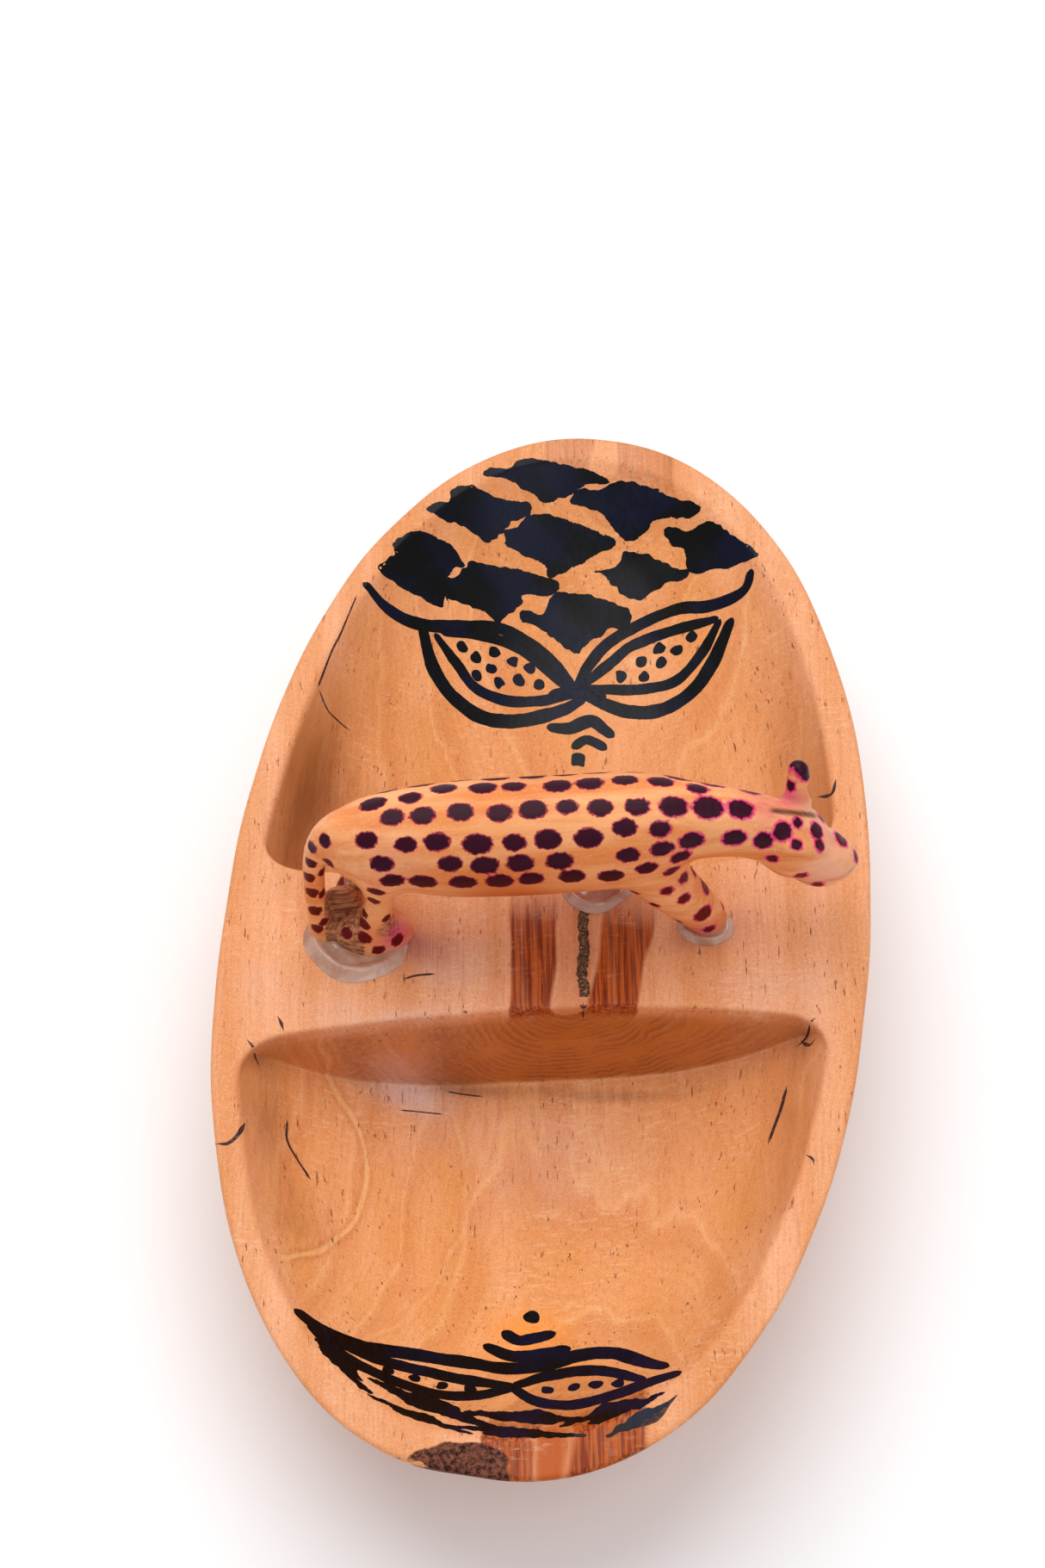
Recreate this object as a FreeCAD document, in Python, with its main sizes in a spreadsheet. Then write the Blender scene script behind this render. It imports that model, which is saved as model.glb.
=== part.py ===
"""Double carved wooden bowl with a leopard figurine glued on its bridge.

Frame: millimetres, +Z up, +Y along the oval's long axis towards the far end, +X to the right.
The origin is on the floor, under the middle of the oval, so the rim lies at z = rim_height.
Every separate physical piece is one object whose Label is the name of its file in parts/.
"""
import FreeCAD, Part
import math
import os

import Sketcher
from FreeCAD import Placement, Rotation, Vector

UP = Vector(0, 0, 1)

DRIVING = {
    # the boat-shaped block
    "rim_height": 52.0, "rim_half_width": 80.0, "rim_centre_along": -4.5,
    "rim_far_length": 154.5, "rim_near_length": 145.5,
    "rim_far_power": 2.10, "rim_near_power": 2.22,
    "base_scale": 0.42, "bilge_depth_power": 1.5, "bilge_round_power": 1.4,
    # the dished hollow that both dishes share
    "dish_depth": 35.0, "dish_slope_power": 3.0,
    "dish_half_width": 72.7, "dish_centre_across": -0.7, "dish_centre_along": -7.7,
    "dish_far_length": 150.2, "dish_near_length": 132.3,
    "dish_far_power": 2.14, "dish_near_power": 2.245,
    # the bridge left standing between the dishes
    "bridge_turn": 8.0, "bridge_centre_along": -8.2, "bridge_waist": 19.0,
    "bridge_flare": 23.5, "bridge_flare_at": 63.0, "bridge_draft": 2.0, "edge_round": 1.2,
    # the drying crack across the bridge, filled flush
    "crack_width": 2.4, "crack_length": 41.0, "crack_depth": 7.0,
    "crack_across": 9.6, "crack_along": -8.2, "crack_turn": 6.7,
    # where the leopard stands, and its ears
    "leopard_turn": 8.5, "ear_root": 3.6, "ear_tip": 2.2,
    "far_ear_length": 11.5, "near_ear_length": 4.0,
    # glue domes: half sizes and places in the leopard's axes
    "glue_rise": 2.6,
    "hind_glue_long": 13.0, "hind_glue_wide": 12.4, "hind_glue_at": -47.4, "hind_glue_side": -5.1,
    "far_glue_long": 9.0, "far_glue_wide": 7.0, "far_glue_at": 12.0, "far_glue_side": 6.5,
    "near_glue_long": 7.2, "near_glue_wide": 5.8, "near_glue_at": 38.8, "near_glue_side": -5.8,
}

# Stations of the leopard in its own axes, all measured from the bridge top under its middle.
# Torso and head: along, side, height, half width, half height, nose-down tilt in degrees.
STATIONS = {
    "torso": [(-52.5, 1.0, 37.6, 3.6, 4.6, -35.0), (-46.0, 1.2, 35.4, 9.6, 10.6, -12.0),
              (-34.0, 1.3, 34.6, 12.6, 14.2, -4.0), (-8.0, 1.3, 33.8, 13.7, 15.5, 0.0),
              (18.0, 1.3, 34.8, 13.2, 15.0, 0.0), (33.0, 1.1, 37.4, 9.6, 10.8, 4.0),
              (46.0, 0.4, 36.0, 7.8, 8.8, 8.0), (56.0, -0.4, 32.0, 8.0, 8.8, 18.0)],
    "head": [(52.0, -0.4, 33.2, 7.4, 8.0, 24.0), (59.0, -0.8, 29.4, 8.6, 9.8, 26.0),
             (66.0, -1.2, 24.2, 7.6, 8.6, 30.0), (71.6, -1.4, 20.6, 5.8, 6.2, 34.0),
             (74.2, -1.5, 19.2, 3.8, 4.2, 34.0)],
    # Legs and tail: the same five lengths, on stations that lie nearly level.
    "near_fore_leg": [(22.0, -4.6, 30.0, 6.0, 9.0, 65.0), (30.0, -5.8, 17.0, 5.8, 8.2, 65.0),
                      (36.2, -5.4, 7.0, 5.2, 6.6, 75.0), (39.0, -4.6, -1.0, 4.9, 6.0, 90.0)],
    "far_fore_leg": [(19.5, 6.8, 30.0, 6.0, 8.5, 100.0), (16.5, 9.2, 17.0, 5.2, 6.4, 100.0),
                     (13.4, 10.0, 7.0, 4.8, 5.4, 95.0), (12.0, 10.2, -1.0, 5.0, 5.6, 90.0)],
    "near_hind_leg": [(-39.0, -5.0, 31.0, 5.6, 8.8, 95.0), (-41.0, -6.4, 20.0, 4.2, 5.0, 95.0),
                      (-42.8, -6.0, 9.0, 4.4, 6.0, 90.0), (-43.4, -5.2, -1.0, 5.2, 8.6, 90.0)],
    "far_hind_leg": [(-39.0, 6.8, 31.0, 5.6, 8.6, 95.0), (-42.0, 8.2, 20.0, 4.2, 5.0, 95.0),
                     (-42.8, 8.0, 9.0, 4.2, 5.0, 90.0), (-42.6, 7.8, -1.0, 4.8, 5.6, 90.0)],
    "tail": [(-49.0, 1.0, 40.0, 3.4, 3.6, -30.0), (-55.6, 0.6, 34.0, 2.8, 2.8, -60.0),
             (-57.2, -0.9, 25.0, 2.6, 2.6, -88.0), (-57.0, -2.1, 15.0, 2.6, 2.5, -95.0),
             (-56.0, -3.0, 6.0, 2.7, 2.5, -95.0), (-55.4, -3.2, -1.0, 3.0, 2.8, -90.0)],
}
LENGTHS = ("along", "side", "height", "half_width", "half_height", "tilt")
# Ears: along, side and height of the root, and the lean away from upright in degrees.
EARS = {"far_ear": (59.8, 4.0, 34.5, -26.0), "near_ear": (58.0, -4.4, 33.6, 34.0)}
GLUE = {"glue_hind": "hind_glue", "glue_front_far": "far_glue", "glue_front_near": "near_glue"}

doc = FreeCAD.newDocument("double_bowl")
sheet = doc.addObject("Spreadsheet::Sheet", "sizes")


def fill_sheet():
    """One row per driving dimension: its name in column A, its plain number in column B."""
    rows = dict(DRIVING)
    for limb, stations in STATIONS.items():
        for number, station in enumerate(stations):
            for length, value in zip(LENGTHS, station):
                rows["%s_%d_%s" % (limb, number, length)] = value
    for row, (alias, value) in enumerate(rows.items(), start=1):
        sheet.set("A%d" % row, alias)
        sheet.set("B%d" % row, str(value))
        sheet.setAlias("B%d" % row, alias)
    doc.recompute()


def size(alias):
    """Read a driving dimension back from the sheet."""
    return float(getattr(sheet, alias))


def make(kind, name, **formulas):
    """Add an object and tie its properties to the sheet; __ stands for a dot."""
    thing = doc.addObject(kind, name)
    for prop, formula in formulas.items():
        thing.setExpression(prop.replace("__", "."), formula)
    return thing


def egg_outline(label, prefix, scale, depth, across, along, points=32):
    """A level superellipse whose far and near halves have their own length and power."""
    ring = []
    for step in range(points):
        angle = 2 * math.pi * step / points
        half = prefix + ("_far" if math.sin(angle) >= 0 else "_near")
        power, length = size(half + "_power"), size(half + "_length")
        x = abs(math.cos(angle)) ** (2 / power) * size(prefix + "_half_width")
        y = abs(math.sin(angle)) ** (2 / power) * length
        ring.append(Vector(across + scale * math.copysign(x, math.cos(angle)),
                           along + scale * math.copysign(y, math.sin(angle)),
                           size("rim_height") - depth))
    curve = Part.BSplineCurve()
    curve.interpolate(ring, PeriodicFlag=True)
    outline = doc.addObject("Part::Feature", label)
    outline.Shape = Part.Wire(curve.toShape())
    return outline


def loft(name, sections):
    """A smooth closed loft through the given sections."""
    body = doc.addObject("Part::Loft", name)
    body.Sections = sections
    body.Solid = True
    return body


def hull():
    """The outside of the block: flat base, rounded bilge, upright at the rim."""
    base, rings = size("base_scale"), []
    for number, fall in enumerate((0.0, 0.12, 0.28, 0.46, 0.64, 0.80, 0.92, 1.0)):
        bulge = (1 - fall ** size("bilge_depth_power")) ** (1 / size("bilge_round_power"))
        rings.append(egg_outline("hull_ring_%d" % number, "rim", base + (1 - base) * bulge,
                                 fall * size("rim_height"), 0.0, size("rim_centre_along")))
    return loft("hull", rings)


def dish():
    """The hollow as if no bridge crossed it: steep sides that run out into a soft floor."""
    rings = []
    for number, reach in enumerate((1.04, 1.0, 0.92, 0.80, 0.66, 0.50, 0.34, 0.18)):
        depth = size("dish_depth") * (1 - reach ** size("dish_slope_power"))
        rings.append(egg_outline("dish_ring_%d" % number, "dish", reach, depth,
                                 size("dish_centre_across"), size("dish_centre_along")))
    return loft("dish", rings)


def bridge_block():
    """A bar across the bowl with a shallow conical scallop in each side, a little drafted."""
    bar = make("Part::Box", "bridge_bar", Length="2 * sizes.rim_half_width",
               Width="3 * sizes.bridge_flare", Height="sizes.rim_height + 10",
               Placement__Base__x="-sizes.rim_half_width",
               Placement__Base__y="-1.5 * sizes.bridge_flare")
    sagitta = size("bridge_flare") - size("bridge_waist")
    radius = (size("bridge_flare_at") ** 2 + sagitta ** 2) / (2 * sagitta)
    lean = math.tan(math.radians(size("bridge_draft")))
    block = bar
    for name, side in (("near_scallop", -1), ("far_scallop", 1)):
        scallop = make("Part::Cone", name, Height="sizes.rim_height + 10")
        scallop.Radius1 = radius - lean * size("rim_height")
        scallop.Radius2 = radius + lean * (scallop.Height.Value - size("rim_height"))
        scallop.Placement.Base = Vector(0, side * (size("bridge_waist") + radius), 0)
        cut = doc.addObject("Part::Cut", "bridge_" + name)
        cut.Base, cut.Tool = block, scallop
        block = cut
    block.Placement = Placement(Vector(size("dish_centre_across"), size("bridge_centre_along"), 0),
                                Rotation(UP, size("bridge_turn")))
    return block


def crack_slot():
    """The split in plan: two long arcs that meet in points, sunk from the bridge top."""
    body = doc.addObject("PartDesign::Body", "crack_slot")
    sketch = body.newObject("Sketcher::SketchObject", "crack_plan")
    ground = [part for part in body.Origin.OriginFeatures if part.Role == "XY_Plane"][0]
    sketch.AttachmentSupport = [(ground, "")]
    sketch.MapMode = "FlatFace"
    half_long, half_wide = size("crack_length") / 2, size("crack_width") / 2
    tips = Vector(0, half_long, 0), Vector(0, -half_long, 0)
    for side in (1, -1):
        sketch.addGeometry(Part.Arc(tips[0], Vector(side * half_wide, 0, 0), tips[1]))
    sketch.addConstraint(Sketcher.Constraint("Coincident", 0, 2, 1, 1))
    sketch.addConstraint(Sketcher.Constraint("Coincident", 0, 1, 1, 2))
    pad = body.newObject("PartDesign::Pad", "crack_depth_pad")
    pad.Profile = sketch
    pad.setExpression("Length", "sizes.crack_depth")
    pad.Reversed = True
    body.Placement = Placement(
        Vector(size("crack_across"), size("crack_along"), size("rim_height")),
        Rotation(UP, size("crack_turn")))
    return body


def cut(name, base, tool):
    """The base with the tool taken away."""
    result = doc.addObject("Part::Cut", name)
    result.Base, result.Tool = base, tool
    return result


def common(name, first, second):
    """What two shapes share."""
    result = doc.addObject("Part::MultiCommon", name)
    result.Shapes = [first, second]
    return result


def rim_edges(shape):
    """The numbers of the edges that lie wholly in the rim plane."""
    level = size("rim_height")
    found = []
    for number, edge in enumerate(shape.Edges, start=1):
        heights = [edge.valueAt(edge.FirstParameter + (edge.LastParameter - edge.FirstParameter)
                                * step / 4).z for step in range(5)]
        if max(abs(height - level) for height in heights) < 0.01:
            found.append(number)
    return found


def bowl(slot):
    """The carved block: hull less both dishes and less the slot that the filler fills."""
    hollows = cut("hollows", dish(), bridge_block())
    block = cut("carved_block", hull(), hollows)
    doc.recompute()
    eased = doc.addObject("Part::Fillet", "eased_block")
    eased.Base = block
    eased.Edges = [(number, size("edge_round"), size("edge_round"))
                   for number in rim_edges(block.Shape)]
    filler = common("crack_filler", eased, slot)
    return cut("bowl_body", eased, filler), filler


def limb(name):
    """One member of the leopard, lofted through the ovals that the sheet lists for it."""
    rings = []
    for number in range(len(STATIONS[name])):
        row = "sizes.%s_%d_" % (name, number)
        along, side, height, wide, tall, tilt = STATIONS[name][number]
        ring = make("Part::Ellipse", "%s_ring_%d" % (name, number),
                    Placement__Base__x=row + "along", Placement__Base__y=row + "side",
                    Placement__Base__z=row + "height",
                    MajorRadius="max(%shalf_width; %shalf_height)" % (row, row),
                    MinorRadius="min(%shalf_width; %shalf_height)" % (row, row))
        # The ring's own axes: across the leopard, then up in its plane, then along the member.
        across, upright = Vector(0, 1, 0), Vector(0, 0, 1)
        turn = Rotation(across, tilt)
        upright = turn.multVec(upright)
        axis = across.cross(upright)
        first, second = (across, upright) if wide >= tall else (upright, -across)
        ring.Placement.Rotation = Rotation(first, second, axis, "XYZ")
        rings.append(ring)
    return loft(name, rings)


def ear(name):
    """A blunt cone that leans out from the crown."""
    along, side, height, lean = EARS[name]
    cone = make("Part::Cone", name, Radius1="sizes.ear_root", Radius2="sizes.ear_tip",
                Height="sizes.%s_length" % name)
    cone.Placement = Placement(Vector(along, side, height), Rotation(Vector(1, 0, 0), lean))
    return cone


def stand_on_bridge(thing):
    """Move a shape from the leopard's axes to the top of the bridge."""
    thing.Placement = Placement(Vector(0, 0, size("rim_height")),
                                Rotation(UP, size("leopard_turn")))
    return thing


def leopard():
    """Torso, head, legs, ears and tail in one carved piece, sawn flat under its feet."""
    members = [limb(name) for name in STATIONS] + [ear(name) for name in EARS]
    carved = doc.addObject("Part::MultiFuse", "leopard_members")
    carved.Shapes = members
    space = make("Part::Box", "space_over_bridge", Length="2 * sizes.rim_half_width",
                 Width="2 * sizes.rim_half_width", Height="2 * sizes.rim_height",
                 Placement__Base__x="-sizes.rim_half_width",
                 Placement__Base__y="-sizes.rim_half_width")
    return stand_on_bridge(common("leopard_figurine", carved, space))


def glue(name, prefix, figurine):
    """A low dome of set glue on the bridge, with the feet standing in it."""
    dome = make("Part::Ellipsoid", name + "_dome", Radius1="sizes.glue_rise",
                Radius2="sizes.%s_long" % prefix, Radius3="sizes.%s_wide" % prefix)
    dome.Angle1 = 0
    flat = Placement(Vector(size(prefix + "_at"), size(prefix + "_side"), 0), Rotation())
    on_top = Placement(Vector(0, 0, size("rim_height")), Rotation(UP, size("leopard_turn")))
    dome.Placement = on_top * flat
    return cut(name, dome, figurine)


def check(things):
    """Stop before writing if any object failed or any piece is not one or more whole solids."""
    for thing in doc.Objects:
        if "Invalid" in thing.State or "Error" in thing.State:
            raise RuntimeError("%s did not recompute: %s" % (thing.Name, thing.State))
    for thing in things:
        if thing.Shape.isNull() or not thing.Shape.isValid() or not thing.Shape.Solids:
            raise RuntimeError("%s has no sound solid" % thing.Name)


def write(things):
    """One STEP file per piece, named by its Label."""
    os.makedirs("parts", exist_ok=True)
    for thing in things:
        thing.Shape.exportStep("parts/%s.step" % thing.Label)
        box = thing.Shape.optimalBoundingBox()
        print("%-18s %9.1f mm3  %d solid  x %.1f..%.1f  y %.1f..%.1f  z %.1f..%.1f" % (
            thing.Label, thing.Shape.Volume, len(thing.Shape.Solids),
            box.XMin, box.XMax, box.YMin, box.YMax, box.ZMin, box.ZMax))


fill_sheet()
bowl_body, crack_filler = bowl(crack_slot())
leopard_figurine = leopard()
pieces = [bowl_body, crack_filler, leopard_figurine]
pieces += [glue(name, prefix, leopard_figurine) for name, prefix in GLUE.items()]
doc.recompute()
check(pieces)
write(pieces)
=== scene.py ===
"""Looks of the double carved wooden bowl with a leopard glued on its bridge.

All helper functions work in millimetres in the row frame and only mesh_piece() turns them into
metres. The frame gives the overall box, the rim height and where the glue and the crack lie.
"""
import math

import bmesh
import bpy
import numpy as np
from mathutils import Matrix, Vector
from mathutils.bvhtree import BVHTree
from mathutils.geometry import delaunay_2d_cdt


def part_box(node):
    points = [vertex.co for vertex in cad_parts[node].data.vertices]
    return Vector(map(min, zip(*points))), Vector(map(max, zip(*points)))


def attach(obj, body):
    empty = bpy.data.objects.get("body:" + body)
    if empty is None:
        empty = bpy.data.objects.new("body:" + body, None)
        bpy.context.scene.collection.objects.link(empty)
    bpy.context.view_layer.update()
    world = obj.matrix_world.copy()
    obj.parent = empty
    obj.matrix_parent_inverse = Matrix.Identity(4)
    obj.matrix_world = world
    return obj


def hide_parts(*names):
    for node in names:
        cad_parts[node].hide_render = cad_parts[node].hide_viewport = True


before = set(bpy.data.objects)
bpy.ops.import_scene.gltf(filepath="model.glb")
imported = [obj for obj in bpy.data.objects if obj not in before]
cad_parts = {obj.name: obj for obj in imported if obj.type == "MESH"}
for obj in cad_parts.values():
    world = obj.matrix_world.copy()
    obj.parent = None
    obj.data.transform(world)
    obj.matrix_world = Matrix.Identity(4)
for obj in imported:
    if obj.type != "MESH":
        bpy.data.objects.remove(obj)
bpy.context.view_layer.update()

MM = 0.001


def box_mm(node):
    """Lowest and highest corner of a CAD node in millimetres."""
    low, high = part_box(node)
    return np.array(low) / MM, np.array(high) / MM


# ---------------------------------------------------------------------------- dimensions
BOWL_LOW, BOWL_HIGH = box_mm("bowl_body")
RIM = BOWL_HIGH[2]
HALF_WIDTH = (BOWL_HIGH[0] - BOWL_LOW[0]) / 2
HALF_LENGTH = (BOWL_HIGH[1] - BOWL_LOW[1]) / 2

# The outer rim: a superellipse with a longer, more pointed far half.
WAIST = -4.5
RIM_FAR, RIM_NEAR = HALF_LENGTH - WAIST, HALF_LENGTH + WAIST
RIM_POWERS = (2.10, 2.22)
BASE_SCALE = 0.42
BILGE = (1.5, 1.4)

# The dish that both hollows share, and the bridge left across it.
DISH_CENTRE = (-0.7, -7.7)
DISH_HALF_WIDTH, DISH_FAR, DISH_NEAR = 72.7, 150.2, 132.3
DISH_POWERS = (2.14, 2.245)
DISH_DEPTH, DISH_SLOPE = 35.0, 3.0
BRIDGE_TURN = math.radians(8.0)
BRIDGE_CENTRE = (-0.7, -8.2)
BRIDGE_WAIST, BRIDGE_FLARE, BRIDGE_FLARE_AT = 19.0, 23.5, 63.0
BRIDGE_SAGITTA = BRIDGE_FLARE - BRIDGE_WAIST
BRIDGE_RADIUS = (BRIDGE_FLARE_AT ** 2 + BRIDGE_SAGITTA ** 2) / (2 * BRIDGE_SAGITTA)
BRIDGE_DRAFT = math.tan(math.radians(2.0))
CORNER_BLEND = 13.0
FOOT_BLEND = 2.0
NEAR, FAR = -1, 1

# The grain runs a little left of the oval's axis; the pith lies at the crack, at rim height.
GRAIN_TURN = math.radians(6.7)
CRACK_LOW, CRACK_HIGH = box_mm("crack_filler")
PITH = ((CRACK_LOW[0] + CRACK_HIGH[0]) / 2, (CRACK_LOW[1] + CRACK_HIGH[1]) / 2)

# The leopard's own axes: along its body, to its far side, and up from the bridge.
LEOPARD_TURN = math.radians(8.5)


# ---------------------------------------------------------------------------- small maths
def smooth_min(first, second, blend):
    """The smaller of two lengths, with the crease rounded over about the blend."""
    mix = np.clip(0.5 + 0.5 * (second - first) / blend, 0.0, 1.0)
    return second * (1 - mix) + first * mix - blend * mix * (1 - mix)


def smooth_step(low, high, value):
    """0 below low, 1 above high and an easy slope between."""
    ease = np.clip((value - low) / (high - low), 0.0, 1.0)
    return ease * ease * (3 - 2 * ease)


def waves(x, y, z, scale, seed):
    """Smooth noise between about -1 and 1 with lumps of about the scale."""
    draw = np.random.default_rng(seed)
    total = np.zeros(np.broadcast(x, y, z).shape)
    for octave in range(7):
        way = draw.normal(size=3)
        way *= (0.7 + 0.8 * draw.random()) / (scale * np.linalg.norm(way))
        total += np.sin(2 * math.pi * (way[0] * x + way[1] * y + way[2] * z + draw.random()))
    return total / 3.2


def catmull_rom(a, b, c, d):
    """Points from b towards c on the smooth curve through four points."""
    step = np.linspace(0, 1, 24, endpoint=False)[:, None]
    return 0.5 * (2 * b + (c - a) * step + (2 * a - 5 * b + 4 * c - d) * step ** 2
                  + (3 * b - a - 3 * c + d) * step ** 3)


def spline(points, spacing):
    """A smooth curve through given points, resampled at an even spacing."""
    points = np.array(points, float)
    ends = np.vstack([2 * points[0] - points[1], points, 2 * points[-1] - points[-2]])
    path = [catmull_rom(*four) for four in zip(ends[:-3], ends[1:-2], ends[2:-1], ends[3:])]
    return resample(np.vstack(path + [points[-1:]]), spacing)


def closed_spline(loop, spacing):
    """The same kind of curve, closed."""
    loop = np.array(loop, float)
    path = [catmull_rom(*(loop[(n + k) % len(loop)] for k in (-1, 0, 1, 2)))
            for n in range(len(loop))]
    return resample(np.vstack(path), spacing, closed=True)


def path_length(path):
    """Running length along a polyline."""
    return np.concatenate([[0], np.cumsum(np.linalg.norm(np.diff(path, axis=0), axis=1))])


def resample(path, spacing, closed=False):
    """The same polyline with points at an even spacing."""
    if closed:
        path = np.vstack([path, path[:1]])
    run = path_length(path)
    count = max(int(round(run[-1] / spacing)), 2)
    at = np.linspace(0, run[-1], count + 1)
    if closed:
        at = at[:-1]
    return np.stack([np.interp(at, run, path[:, axis]) for axis in range(path.shape[1])], 1)


def to_frame(points):
    """From the leopard's axes to the row frame."""
    points = np.asarray(points, float)
    cos, sin = math.cos(LEOPARD_TURN), math.sin(LEOPARD_TURN)
    along, side, up = points[..., 0], points[..., 1], points[..., 2]
    return np.stack([along * cos - side * sin, along * sin + side * cos, up + RIM], -1)


def inside(x, y, loop):
    """Which points lie inside a closed loop, by counting crossings."""
    hit = np.zeros(x.shape, bool)
    for (ax, ay), (bx, by) in zip(loop, np.roll(loop, -1, axis=0)):
        span = (ay > y) != (by > y)
        cross = ax + (y - ay) * (bx - ax) / ((by - ay) if by != ay else 1e-9)
        hit ^= span & (x < cross)
    return hit


# ---------------------------------------------------------------------------- pieces
def mesh_piece(name, points, faces, material, body="root"):
    """A smooth-shaded object from points in millimetres, riding on a CAD body."""
    mesh = bpy.data.meshes.new(name)
    mesh.from_pydata((np.asarray(points) * MM).tolist(), [], [list(map(int, f)) for f in faces])
    shell = bmesh.new()
    shell.from_mesh(mesh)
    bmesh.ops.recalc_face_normals(shell, faces=shell.faces)
    shell.to_mesh(mesh)
    shell.free()
    mesh.polygons.foreach_set("use_smooth", [True] * len(mesh.polygons))
    mesh.materials.append(material)
    piece = bpy.data.objects.new(name, mesh)
    bpy.context.scene.collection.objects.link(piece)
    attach(piece, body)
    return piece


def add_value(piece, name, values):
    """One number per vertex, which the material reads."""
    layer = piece.data.attributes.new(name, "FLOAT", "POINT")
    layer.data.foreach_set("value", np.asarray(values, np.float32))


def vertices(piece):
    """The piece's vertices in millimetres."""
    flat = np.empty(len(piece.data.vertices) * 3, np.float32)
    piece.data.vertices.foreach_get("co", flat)
    return flat.reshape(-1, 3).astype(float) / MM


class Mesher:
    """Collects patches that share border points and welds them."""

    def __init__(self):
        self.points, self.faces, self.known = [], [], {}

    def add(self, points):
        """Indices of the points, reusing those that are already there."""
        found = []
        for point in np.asarray(points, float).reshape(-1, 3):
            key = tuple(np.round(point, 4))
            if key not in self.known:
                self.known[key] = len(self.points)
                self.points.append(point)
            found.append(self.known[key])
        return np.array(found)

    def face(self, *corners):
        """A face, less any corner that repeats its neighbour."""
        corners = [c for n, c in enumerate(corners) if c != corners[n - 1]]
        if len(corners) > 2:
            self.faces.append(corners)

    def grid(self, ids, flip=False):
        """Quads between neighbouring closed rings; ids is columns by rows."""
        columns, rows = ids.shape
        for column in range(columns):
            after = (column + 1) % columns
            for row in range(rows - 1):
                quad = [ids[column, row], ids[column, row + 1], ids[after, row + 1], ids[after, row]]
                self.face(*(quad[::-1] if flip else quad))


# ---------------------------------------------------------------------------- bowl shape
def dish_reach(x, y):
    """1 on the edge of the dish that both hollows share, less inside it."""
    across, along = (x - DISH_CENTRE[0]) / DISH_HALF_WIDTH, y - DISH_CENTRE[1]
    ahead = along >= 0
    power = np.where(ahead, *DISH_POWERS)
    length = np.where(ahead, DISH_FAR, DISH_NEAR)
    return (np.abs(across) ** power + np.abs(along / length) ** power) ** (1 / power)


def dish_depth(reach):
    """How far the dish lies under the rim plane at a reach."""
    return DISH_DEPTH * (1 - reach ** DISH_SLOPE)


def bridge_gap(x, y, side):
    """Distance in plan from a place in a hollow to the bridge's bowed side."""
    dx, dy = x - BRIDGE_CENTRE[0], y - BRIDGE_CENTRE[1]
    cos, sin = math.cos(BRIDGE_TURN), math.sin(BRIDGE_TURN)
    along, across = dx * cos + dy * sin, dy * cos - dx * sin
    return BRIDGE_RADIUS - np.hypot(along, across - side * (BRIDGE_WAIST + BRIDGE_RADIUS))


def hollow_depth(x, y, side):
    """How far a hollow's raw surface lies under the rim plane; negative outside the hollow."""
    reach = dish_reach(x, y)
    away = np.hypot(x - DISH_CENTRE[0], y - DISH_CENTRE[1])
    rim = away * (1 / np.maximum(reach, 1e-6) - 1)
    border = smooth_min(bridge_gap(x, y, side), rim, CORNER_BLEND)
    return smooth_min(border / BRIDGE_DRAFT, dish_depth(reach), FOOT_BLEND)


# A profile is a cut through the skin, from a lead-in on the flat top over the edge and down.
PROFILE_STEP = 0.25
PROFILE_LEAD = 8.0
EDGE_ZONE = 2.8          # how far either side of the edge the points stay close together
INNER_ROUNDING, OUTER_ROUNDING = 0.75, 0.8
COLUMN_SPACING, RIM_SPACING, TOP_SPACING = 1.35, 1.6, 2.1
HOLLOW_CENTRES = {NEAR: (-0.5, -72.0), FAR: (-2.0, 72.0)}
BARK_AT = np.array([-5.5, -146.0])
BARK_DENT, BARK_REACH = 1.1, 6.5
SLOT_DEPTH = 3.5


def rounded(profile, sigma):
    """An evenly stepped polyline with its corners rounded and its ends kept."""
    reach = int(4 * sigma / PROFILE_STEP)
    weight = np.exp(-0.5 * (np.arange(-reach, reach + 1) * PROFILE_STEP / sigma) ** 2)
    weight /= weight.sum()
    padded = np.pad(profile, ((reach, reach), (0, 0)), mode="reflect", reflect_type="odd")
    return np.stack([np.convolve(padded[:, axis], weight, mode="valid")
                     for axis in range(profile.shape[1])], 1)


def profile_rows(foot, before, after, end, counts):
    """Where along a profile its points lie: close together at the edge and at the foot."""
    stops = [PROFILE_LEAD - EDGE_ZONE, PROFILE_LEAD + EDGE_ZONE, foot - before, foot + after, end]
    parts = [np.linspace(a, b, n)[:-1] for a, b, n in zip(stops, stops[1:], counts)]
    return np.append(np.concatenate(parts), end)


def place_columns(columns):
    """The columns as one grid whose last points meet in one place."""
    grid = np.array(columns)
    grid[:, -1] = grid[:, -1].mean(axis=0)
    return grid


def hollow_border(side):
    """The hollow's edge in plan, evenly spaced, as a closed loop round its centre."""
    centre = np.array(HOLLOW_CENTRES[side])
    angles = np.linspace(0, 2 * math.pi, 1440, endpoint=False)
    ways = np.stack([np.cos(angles), np.sin(angles)], 1)
    step = 0.1
    out = np.arange(0, 110, step)
    x = centre[0] + ways[:, :1] * out
    y = centre[1] + ways[:, 1:] * out
    depth = hollow_depth(x, y, side)
    first = np.argmax(depth < 0, axis=1)
    rows = np.arange(len(angles))
    before, after = depth[rows, first - 1], depth[rows, first]
    radius = out[first - 1] + step * before / (before - after)
    return resample(centre + ways * radius[:, None], COLUMN_SPACING, closed=True)


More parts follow.
